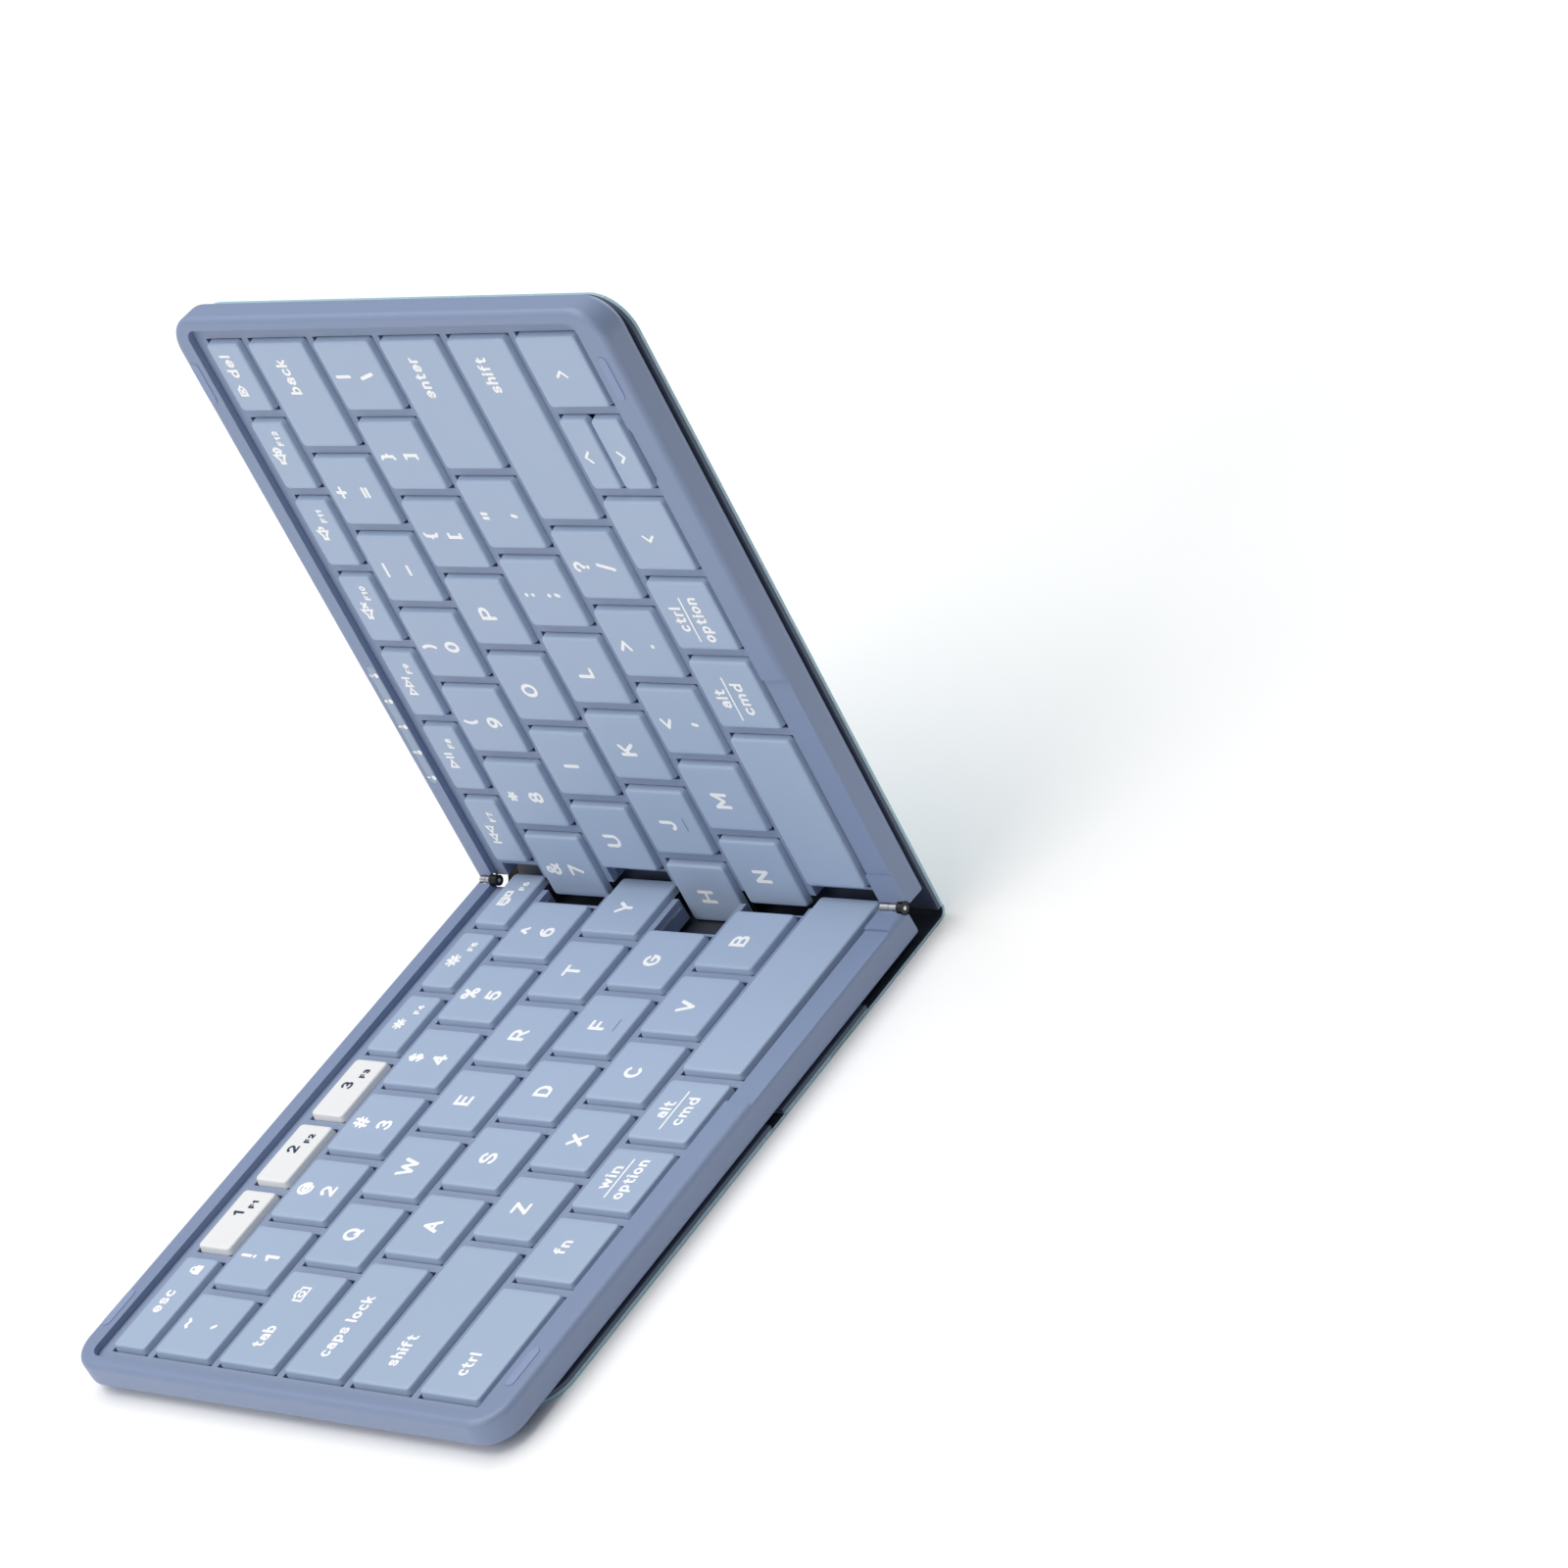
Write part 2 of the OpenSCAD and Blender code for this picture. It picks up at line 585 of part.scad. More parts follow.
// Rubber domes of a half, one under each key.
module domes(rows) {
    at_keys(rows) cylinder(r1 = dome_radius, r2 = dome_radius * 0.6, h = dome_height);
}

// Scissor frames of a half, folded flat on the membrane.
module scissors(rows) {
    at_keys(rows) difference() {
        block([-4.5, 4.5], [-2.5, 2.5], [0, scissor_height]);
        block([-3.7, 3.7], [-1.75, 1.75], [-cut, cut]);
    }
}

// One keycap: leaning sides, rounded plan corners, hollow underside and a plunger.
module cap(x, y) {
    foot_x = grown(x, cap_lean);
    foot_y = grown(y, cap_lean);
    middle = [(x[0] + x[1]) / 2, (y[0] + y[1]) / 2];
    difference() {
        intersection() {
            sheet([cap_foot, cap_top]) rounded_plan(foot_x, foot_y, cap_round);
            translate([0, foot_y[1] + cut, 0]) rotate([90, 0, 0])
                linear_extrude(foot_y[1] - foot_y[0] + 2 * cut)
                polygon([[foot_x[0], cap_foot], [foot_x[1], cap_foot], [x[1], cap_top], [x[0], cap_top]]);
            translate([foot_x[0] - cut, 0, 0]) rotate([90, 0, 90])
                linear_extrude(foot_x[1] - foot_x[0] + 2 * cut)
                polygon([[foot_y[0], cap_foot], [foot_y[1], cap_foot], [y[1], cap_top], [y[0], cap_top]]);
        }
        block(grown(foot_x, -cap_wall), grown(foot_y, -cap_wall), [cap_foot - cut, cap_ceiling]);
    }
    translate([middle[0], middle[1], plunger_foot]) cylinder(r = 1, h = cap_ceiling - plunger_foot + 0.1);
}

// A run of keycaps in one row.
module caps(spans, row) {
    for (span = spans) cap(span, row_y(row));
}

// The arm of a front or rear hinge point, drawn at +X, with its barrel's bore.
module hinge_arm(barrel, foot, bore) {
    difference() {
        union() {
            rod(barrel_radius, barrel);
            block([0.1, 0.1 + arm_thick], barrel, [arm_foot_z, 0]);
            block([0.1, arm_length], foot, [arm_foot_z, arm_foot_z + arm_thick]);
        }
        rod(bore, grown(barrel, cut));
    }
}

// A thin bar along the rear wall of a row's tooth pocket, drawn at +X.
module pocket_bar(row, pocket) {
    wall_y = row_y(row)[1] + pocket_side;
    block([bar_setback, pocket - bar_setback], [wall_y - bar_thick, wall_y], bar_z);
}

// A cover panel in plan, with only its outer corners rounded.
module cover_plan(x) {
    end_rounded_plan(x, [-cover_front, cover_rear], cover_corner);
}

// Screws of a half, each with its head in the floor and its end in the switch plate.
module screws() {
    for (place = screw_places) translate([place[0], place[1], 0]) {
        sheet([case_bottom + 0.1, case_bottom + 0.5]) circle(screw_head);
        sheet([case_bottom + 0.5, plate_z]) circle(screw_radius);
    }
}

module left_case() {
    color(case_color) place_left() difference() {
        mirror([1, 0, 0]) case_shell(left_pockets, 2, left_relief);
        for (y = rivet_y) sheet([case_bottom - cut, floor_top + cut])
            rounded_plan([rivet_x - slide_out - rivet_radius - rivet_clearance,
                rivet_x + slide_in + rivet_radius + rivet_clearance],
                grown([y, y], rivet_radius + rivet_clearance), rivet_radius + rivet_clearance - 0.01);
    }
}

module right_case() {
    color(case_color) place_right() difference() {
        case_shell(right_pockets, -1, right_relief);
        sheet([rim_z - indicator_thick, cut])
            rounded_plan(grown(indicator_x, 0.05), grown(indicator_y, 0.05), indicator_round + 0.05);
        translate([(arrow_x[1][0] + arrow_x[1][1]) / 2, scallop_y, rim_z - relief_depth])
            cylinder(r = scallop_radius, h = cut + relief_depth);
        translate([socket_x, cavity_rear - cut, socket_z]) rotate([-90, 0, 0])
            linear_extrude(10) socket_outline(0.1);
    }
}

// Outline of the charging socket across its mouth.
module socket_outline(grow) {
    half = [socket_width / 2 + grow, socket_height / 2 + grow];
    rounded_plan([-half[0], half[0]], [-half[1], half[1]], half[1] - 0.01);
}

module charging_socket() {
    color(steel_color) place_right() translate([socket_x, socket_mouth - socket_length, socket_z])
        rotate([-90, 0, 0]) {
            difference() {
                linear_extrude(socket_length) socket_outline(0);
                translate([0, 0, 1]) linear_extrude(socket_length) socket_outline(-0.3);
            }
            translate([-3.3, -0.35, 0.5]) cube([6.6, 0.7, socket_length - 1.3]);
        }
}

module left_deck() {
    color(deck_color) place_left() mirror([1, 0, 0]) deck(left_rows, left_pockets, -1);
}

module right_deck() {
    color(deck_color) place_right() deck(right_rows, right_pockets, 1);
}

module left_switch_plate() {
    color(steel_color) place_left() mirror([1, 0, 0])
        sheet([plate_bottom, plate_z]) layer_plan(left_teeth, left_pockets, false);
}

module right_switch_plate() {
    color(steel_color) place_right()
        sheet([plate_bottom, plate_z]) layer_plan(right_teeth, right_pockets, true);
}

module left_membrane() {
    color(black_color) place_left() mirror([1, 0, 0])
        sheet([plate_z, membrane_z]) layer_plan(left_teeth, left_pockets, false);
}

module right_membrane() {
    color(black_color) place_right()
        sheet([plate_z, membrane_z]) layer_plan(right_teeth, right_pockets, true);
}

module left_domes() {
    color(white_color) place_left() domes(left_rows);
}

module right_domes() {
    color(white_color) place_right() domes(right_rows);
}

module left_scissors() {
    color(white_color) place_left() scissors(left_rows);
}

module right_scissors() {
    color(white_color) place_right() scissors(right_rows);
}

module left_rim_pads() {
    color(cap_color) place_left() mirror([1, 0, 0])
        pads(0, [rim_z + pad_stand - pad_thick, rim_z + pad_stand]);
}

module right_rim_pads() {
    color(cap_color) place_right()
        pads(0, [rim_z + pad_stand - pad_thick, rim_z + pad_stand]);
}

module left_screws() {
    color(steel_color) place_left() mirror([1, 0, 0]) screws();
}

module right_screws() {
    color(steel_color) place_right() screws();
}

module left_hinge_arms() {
    color(steel_color) place_left() mirror([1, 0, 0]) {
        hinge_arm(front_left_barrel, [front_left_barrel[0], cavity_front], pin_radius);
        hinge_arm(rear_left_barrel, [cavity_rear, rear_left_barrel[1]], pin_radius);
        for (row = [2, 4]) pocket_bar(row, left_pockets[row]);
    }
}

module right_hinge_arms() {
    color(steel_color) place_right() {
        hinge_arm(front_right_barrel, [front_right_barrel[0], cavity_front], pin_radius + pin_clearance);
        hinge_arm(rear_right_barrel, [cavity_rear, rear_right_barrel[1]], pin_radius + pin_clearance);
        pocket_bar(3, right_pockets[3]);
    }
}

module left_magnets() {
    color(steel_color) place_left() mirror([1, 0, 0]) magnet_bars(0, 0);
}

module right_magnets() {
    color(steel_color) place_right() magnet_bars(0, 0);
}

// Low-friction strips under the left case, on which the cover panels slide.
module left_slide_pads() {
    color(black_color) place_left() for (y = slide_pad_y)
        block(slide_pad_x, y, [cover_top + 0.05, case_bottom]);
}

module hinge_pins() {
    color(steel_color) place_left() {
        rod(pin_radius, [front_bush[0], front_left_barrel[1]]);
        rod(pin_radius, [rear_bush[0], rear_right_barrel[1]]);
    }
}

module hinge_bushes() {
    color(black_color) place_left() for (y = [front_bush, rear_bush]) difference() {
        rod(bush_radius, y);
        rod(pin_radius, grown(y, cut));
    }
}

// Main board under the switch plate, with its chips on its lower face.
module main_board() {
    chips = [[6, 8, 7, 7], [18, 10, 5, 5], [24, 24, 9, 6]];
    color(green_color) place_left() translate([board_x, board_y, 0]) {
        block([0, board_length], [0, board_width], [board_top - board_thick, board_top]);
        for (chip = chips) block([chip[0], chip[0] + chip[2]], [chip[1], chip[1] + chip[3]],
            [board_top - board_thick - 0.6, board_top - board_thick]);
    }
}

// Ribbon cable between the halves, which bends round the hinge axis.
module flex_cable() {
    strip = [-flex_radius - flex_thick / 2, -flex_radius + flex_thick / 2];
    width = flex_y[1] - flex_y[0];
    color("orange") {
        place_left() {
            block([-flex_reach, 0], flex_y, strip);
            block([-flex_reach, flex_tab[0] - flex_reach], [flex_y[0] - flex_tab[1], flex_y[1]], strip);
            translate([0, flex_y[1], 0]) rotate([90, 0, 0]) rotate([0, 0, -90])
                rotate_extrude(angle = fold) translate([flex_radius - flex_thick / 2, 0])
                square([flex_thick, width]);
        }
        place_right() {
            block([0, flex_reach], flex_y, strip);
            block([flex_reach - flex_tab[0], flex_reach], [flex_y[0] - flex_tab[1], flex_y[1]], strip);
        }
    }
}

module battery() {
    color(black_color) place_right() block([battery_x, battery_x + battery_length],
        [battery_y, battery_y + battery_width], battery_z);
}

module indicator_window() {
    color(deck_color) place_right()
        sheet([rim_z - indicator_thick, rim_z]) rounded_plan(indicator_x, indicator_y, indicator_round);
}

// Adhesive sheet that bonds the right case to its cover plate.
module right_cover_tape() {
    color(black_color) place_right() block(tape_x, tape_y, [cover_top, case_bottom]);
}

module right_cover_plate() {
    color(plate_color) place_right()
        sheet([cover_bottom, cover_top]) cover_plan([-right_cover_tail, right_cover_reach]);
}

module right_cover_leather() {
    color(leather_color) place_right()
        sheet([leather_bottom, cover_bottom]) cover_plan([-right_cover_tail, right_cover_reach]);
}

module inner_panel_plate() {
    color(plate_color) place_left() difference() {
        block([-inner_far, -inner_near], [-cover_front, cover_rear], [cover_bottom, cover_top]);
        for (y = rivet_y) translate([rivet_x, y, cover_bottom - cut])
            cylinder(r = rivet_radius, h = cover_plate + 2 * cut);
    }
}

module inner_panel_leather() {
    color(leather_color) place_left()
        block([-inner_far, -inner_near], [-cover_front, cover_rear], [leather_bottom, cover_bottom]);
}

// Headed rivets that hold the inner panel and slide in the left case's floor slots.
module slide_rivets() {
    color(steel_color) place_left() for (y = rivet_y) translate([rivet_x, y, 0]) {
        sheet([cover_bottom, rivet_head_z[1]]) circle(rivet_radius);
        sheet(rivet_head_z) circle(rivet_head);
    }
}

module outer_panel_plate() {
    color(plate_color) place_left() mirror([1, 0, 0])
        sheet([cover_bottom, cover_top]) cover_plan([outer_near, outer_far]);
}

module outer_panel_leather() {
    color(leather_color) place_left() mirror([1, 0, 0])
        sheet([leather_bottom, cover_bottom]) cover_plan([outer_near, outer_far]);
}

// Leather between the inner panel and the right cover, bent round the closed book's back.
module spine_leather() {
    depth = cover_front + cover_rear;
    tail_x = -right_cover_tail * cos(fold) - leather_bottom * sin(fold);
    tail_z = -right_cover_tail * sin(fold) + leather_bottom * cos(fold);
    bend_radius = (tail_z - leather_bottom) / (1 - cos(fold));
    bend_x = tail_x - bend_radius * sin(fold);
    color(leather_color) place_left() {
        block([-inner_near, bend_x], [-cover_front, cover_rear], [leather_bottom, bend_top]);
        translate([bend_x, cover_rear, leather_bottom + bend_radius]) rotate([90, 0, 0])
            rotate([0, 0, -90]) rotate_extrude(angle = fold)
            translate([bend_radius - bend_leather, 0]) square([bend_leather, depth]);
    }
}

module crease_leather() {
    color(leather_color) place_left()
        block([-outer_near, -inner_far], [-cover_front, cover_rear], [leather_bottom, bend_top]);
}

module escape_key() { color(cap_color) place_left() caps([escape_key_x], 5); }
module left_function_keys() { color(cap_color) place_left() caps(left_function_x, 5); }
module left_number_keys() { color(cap_color) place_left() caps(left_number_x, 4); }
module tab_key() { color(cap_color) place_left() caps([escape_key_x], 3); }
module left_upper_keys() { color(cap_color) place_left() caps(left_upper_x, 3); }
module caps_lock_key() { color(cap_color) place_left() caps([caps_key_x], 2); }
module left_home_keys() { color(cap_color) place_left() caps(left_home_x, 2); }
module left_shift_key() { color(cap_color) place_left() caps([left_shift_x], 1); }
module left_lower_keys() { color(cap_color) place_left() caps(left_lower_x, 1); }
module left_modifier_keys() { color(cap_color) place_left() caps(left_modifier_x, 0); }
module left_space_bar() { color(cap_color) place_left() caps([left_space_x], 0); }
module right_function_keys() { color(cap_color) place_right() caps(right_function_x, 5); }
module right_number_keys() { color(cap_color) place_right() caps(right_number_x, 4); }
module backspace_key() { color(cap_color) place_right() caps([back_key_x], 4); }
module right_upper_keys() { color(cap_color) place_right() caps(right_upper_x, 3); }
module right_home_keys() { color(cap_color) place_right() caps(right_home_x, 2); }
module enter_key() { color(cap_color) place_right() caps([enter_key_x], 2); }
module right_lower_keys() { color(cap_color) place_right() caps(right_lower_x, 1); }
module right_shift_key() { color(cap_color) place_right() caps([right_shift_x], 1); }
module right_space_bar() { color(cap_color) place_right() caps([right_space_x], 0); }
module right_modifier_keys() { color(cap_color) place_right() caps(right_modifier_x, 0); }

// Left and right arrow keys of full depth, with the up and down keys split between them.
module arrow_keys() {
    color(cap_color) place_right() {
        caps([arrow_x[0], arrow_x[2]], 0);
        for (y = arrow_rows) cap(arrow_x[1], y);
    }
}

left_case();
left_deck();
left_switch_plate();
left_membrane();
left_domes();
left_scissors();
left_rim_pads();
left_screws();
left_hinge_arms();
left_magnets();
left_slide_pads();
hinge_pins();
hinge_bushes();
main_board();
flex_cable();
right_case();
right_deck();
right_switch_plate();
right_membrane();
right_domes();
right_scissors();
right_rim_pads();
right_screws();
right_hinge_arms();
right_magnets();
battery();
charging_socket();
indicator_window();
right_cover_tape();
right_cover_plate();
right_cover_leather();
inner_panel_plate();
inner_panel_leather();
slide_rivets();
outer_panel_plate();
outer_panel_leather();
spine_leather();
crease_leather();
escape_key();
left_function_keys();
left_number_keys();
tab_key();
left_upper_keys();
caps_lock_key();
left_home_keys();
left_shift_key();
left_lower_keys();
left_modifier_keys();
left_space_bar();
right_function_keys();
right_number_keys();
backspace_key();
right_upper_keys();
right_home_keys();
enter_key();
right_lower_keys();
right_shift_key();
right_space_bar();
right_modifier_keys();
arrow_keys();
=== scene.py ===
"""Looks of the folding keyboard: keycaps with legends, cases, leather cover, stage and camera.

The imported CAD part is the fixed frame, in metres. Each half has its own frame with the hinge
axis as its Y axis and its keys facing +Z; sizes in those frames are in millimetres.
"""

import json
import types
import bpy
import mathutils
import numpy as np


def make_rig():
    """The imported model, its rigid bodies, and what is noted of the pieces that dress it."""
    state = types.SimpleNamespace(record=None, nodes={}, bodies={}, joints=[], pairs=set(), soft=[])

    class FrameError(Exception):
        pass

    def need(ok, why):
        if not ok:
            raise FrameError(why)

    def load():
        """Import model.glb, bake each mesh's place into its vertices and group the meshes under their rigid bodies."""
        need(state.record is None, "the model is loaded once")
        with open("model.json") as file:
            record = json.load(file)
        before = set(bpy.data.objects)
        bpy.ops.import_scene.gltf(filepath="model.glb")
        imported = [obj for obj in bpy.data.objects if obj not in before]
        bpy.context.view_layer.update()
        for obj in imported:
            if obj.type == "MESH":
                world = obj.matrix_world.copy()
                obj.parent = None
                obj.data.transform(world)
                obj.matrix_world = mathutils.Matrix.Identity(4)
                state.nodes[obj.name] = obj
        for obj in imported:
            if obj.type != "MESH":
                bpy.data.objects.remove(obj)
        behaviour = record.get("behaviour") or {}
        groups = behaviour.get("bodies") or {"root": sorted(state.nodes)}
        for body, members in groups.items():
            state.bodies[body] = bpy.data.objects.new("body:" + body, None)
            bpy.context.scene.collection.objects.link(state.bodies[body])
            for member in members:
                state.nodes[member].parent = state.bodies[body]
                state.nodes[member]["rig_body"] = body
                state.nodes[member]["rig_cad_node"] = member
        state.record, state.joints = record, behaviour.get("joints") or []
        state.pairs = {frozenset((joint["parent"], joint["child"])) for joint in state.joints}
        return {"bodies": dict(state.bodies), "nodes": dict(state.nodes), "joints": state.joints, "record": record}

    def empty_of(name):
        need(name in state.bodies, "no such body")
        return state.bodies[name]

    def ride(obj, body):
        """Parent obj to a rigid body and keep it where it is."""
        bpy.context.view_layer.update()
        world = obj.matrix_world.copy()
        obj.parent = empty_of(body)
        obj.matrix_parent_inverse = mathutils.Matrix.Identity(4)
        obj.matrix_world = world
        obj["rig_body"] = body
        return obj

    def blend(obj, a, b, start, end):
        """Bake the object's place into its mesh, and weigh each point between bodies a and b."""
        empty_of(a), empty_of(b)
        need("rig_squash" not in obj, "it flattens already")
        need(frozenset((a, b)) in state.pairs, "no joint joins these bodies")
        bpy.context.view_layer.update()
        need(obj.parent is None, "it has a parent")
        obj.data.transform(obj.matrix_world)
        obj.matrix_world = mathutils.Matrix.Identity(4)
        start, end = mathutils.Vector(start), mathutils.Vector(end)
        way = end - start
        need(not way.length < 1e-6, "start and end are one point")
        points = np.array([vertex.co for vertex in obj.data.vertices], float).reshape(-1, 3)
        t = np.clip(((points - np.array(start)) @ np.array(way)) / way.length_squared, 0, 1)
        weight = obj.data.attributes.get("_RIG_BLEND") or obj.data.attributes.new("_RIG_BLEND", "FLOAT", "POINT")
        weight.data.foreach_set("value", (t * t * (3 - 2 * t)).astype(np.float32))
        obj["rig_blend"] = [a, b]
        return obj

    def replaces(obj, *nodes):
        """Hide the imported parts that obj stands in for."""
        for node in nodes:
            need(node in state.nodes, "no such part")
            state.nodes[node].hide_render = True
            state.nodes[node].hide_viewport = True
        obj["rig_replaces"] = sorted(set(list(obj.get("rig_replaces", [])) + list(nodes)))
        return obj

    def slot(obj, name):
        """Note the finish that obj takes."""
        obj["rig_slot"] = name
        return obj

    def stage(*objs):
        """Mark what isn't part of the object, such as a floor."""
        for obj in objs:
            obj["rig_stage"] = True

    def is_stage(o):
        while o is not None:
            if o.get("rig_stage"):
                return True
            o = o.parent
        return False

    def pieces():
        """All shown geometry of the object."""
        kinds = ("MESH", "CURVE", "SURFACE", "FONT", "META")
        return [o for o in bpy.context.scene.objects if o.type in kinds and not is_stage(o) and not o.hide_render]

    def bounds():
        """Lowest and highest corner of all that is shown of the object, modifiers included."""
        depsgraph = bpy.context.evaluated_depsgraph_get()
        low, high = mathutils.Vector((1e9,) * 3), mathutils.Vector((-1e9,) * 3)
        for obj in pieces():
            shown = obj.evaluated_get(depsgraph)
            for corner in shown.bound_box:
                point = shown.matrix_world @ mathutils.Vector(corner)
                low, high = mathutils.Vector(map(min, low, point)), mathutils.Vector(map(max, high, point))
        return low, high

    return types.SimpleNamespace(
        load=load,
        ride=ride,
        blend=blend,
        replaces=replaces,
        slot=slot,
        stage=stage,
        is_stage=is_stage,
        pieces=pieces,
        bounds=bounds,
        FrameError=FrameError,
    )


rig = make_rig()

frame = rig.load()

import json
import logging
import math
from dataclasses import dataclass
from enum import Enum
from pathlib import Path
from typing import Sequence

import bmesh
import bpy
from bmesh.types import BMesh
from bpy.types import Material, Mesh, Node, NodeSocket, NodeTree, Object
from mathutils import Matrix, Vector

LOG = logging.getLogger("folding_keyboard")
MM = 0.001
LEAST_RADIUS = 0.08
SOLID_SHARP = 30.0
SIZE_FILE = Path("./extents.json")

Point = tuple[float, float]
Span = tuple[float, float]


class Grain(Enum):
    """Fine structure of a surface."""

    NONE = "none"
    PLASTIC = "plastic"
    LEATHER = "leather"
    BRUSHED = "brushed"


@dataclass(frozen=True)
class Finish:
    """Finish of one kind of surface."""

    name: str
    color: str
    roughness: float = 0.5
    metallic: float = 0.0
    coat: float = 0.0
    grain: Grain = Grain.NONE
    grain_size_mm: float = 0.2
    grain_depth: float = 0.1


CASE = Finish("case", "#8696b6", 0.4, grain=Grain.PLASTIC, grain_size_mm=0.12, grain_depth=0.05)
DECK = Finish("deck", "#8d9cb9", 0.48, grain=Grain.PLASTIC, grain_size_mm=0.12, grain_depth=0.05)
KEYCAP = Finish("keycap", "#abbdd7", 0.42, grain=Grain.PLASTIC, grain_size_mm=0.1, grain_depth=0.05)
WHITE_CAP = Finish("white_cap", "#f3f3f3", 0.42, grain=Grain.PLASTIC, grain_size_mm=0.1, grain_depth=0.05)
WHITE_INK = Finish("white_ink", "#ffffff", 0.5)
NAVY_INK = Finish("navy_ink", "#27324f", 0.5)
# Homing bar on F and J: a flat darker line, painted shade standing in for the shaded side of the raised bar.
HOMING_BAR_SHADE = Finish("homing_bar_painted_shade", "#6d7d9f", 0.5)
LEATHER = Finish("leather", "#a8cad8", 0.58, grain=Grain.LEATHER, grain_size_mm=1.4, grain_depth=0.9)
# Inner faces of the spine and crease strips: dark painted shade for the hollow seen through the key slots.
INNER_FACE_SHADE = Finish("inner_face_painted_shade", "#2c3340", 0.7)
PANEL = Finish("panel", "#4e596f", 0.5, grain=Grain.PLASTIC, grain_size_mm=0.15, grain_depth=0.08)
STEEL = Finish("steel", "#d6d8dc", 0.34, 0.85, grain=Grain.BRUSHED, grain_size_mm=0.15, grain_depth=0.05)
BLACK = Finish("black", "#101114", 0.4)
MEMBRANE = Finish("membrane", "#16181d", 0.35)
WHITE_PART = Finish("white_part", "#dfe1e4", 0.5)
PAD = Finish("pad", "#8d9bbf", 0.55)
WINDOW = Finish("window", "#93a6bd", 0.25, coat=0.3)
BOARD = Finish("board", "#1d5a3c", 0.4)
RIBBON = Finish("ribbon", "#4f3c2c", 0.35)
BATTERY = Finish("battery", "#2b2c31", 0.35)
FLOOR = Finish("floor", "#ffffff", 0.9)

PAIRED_FINISH: dict[str, Finish] = {
    "case": CASE, "deck": DECK, "switch_plate": STEEL, "membrane": MEMBRANE, "domes": WHITE_PART,
    "scissors": WHITE_PART, "rim_pads": PAD, "screws": STEEL, "hinge_arms": STEEL, "magnets": STEEL,
}
NODE_FINISH: dict[str, Finish] = {
    **{f"{side}_{part}": finish for part, finish in PAIRED_FINISH.items() for side in ("left", "right")},
    "left_slide_pads": BLACK, "hinge_pins": STEEL, "hinge_bushes": BLACK, "main_board": BOARD,
    "flex_cable": RIBBON, "battery": BATTERY, "charging_socket": STEEL, "indicator_window": WINDOW,
    "right_cover_tape": BLACK, "right_cover_plate": PANEL, "inner_panel_plate": PANEL,
    "outer_panel_plate": PANEL, "slide_rivets": STEEL,
}


def linear(code: str) -> tuple[float, float, float, float]:
    """Turns a written colour into the linear values that shaders take.

    Args:
        code: Colour as "#rrggbb".

    Returns:
        Red, green, blue and alpha, from 0 to 1.
    """
    parts = [int(code[i : i + 2], 16) / 255 for i in (1, 3, 5)]
    red, green, blue = (p / 12.92 if p <= 0.04045 else ((p + 0.055) / 1.055) ** 2.4 for p in parts)
    return red, green, blue, 1.0


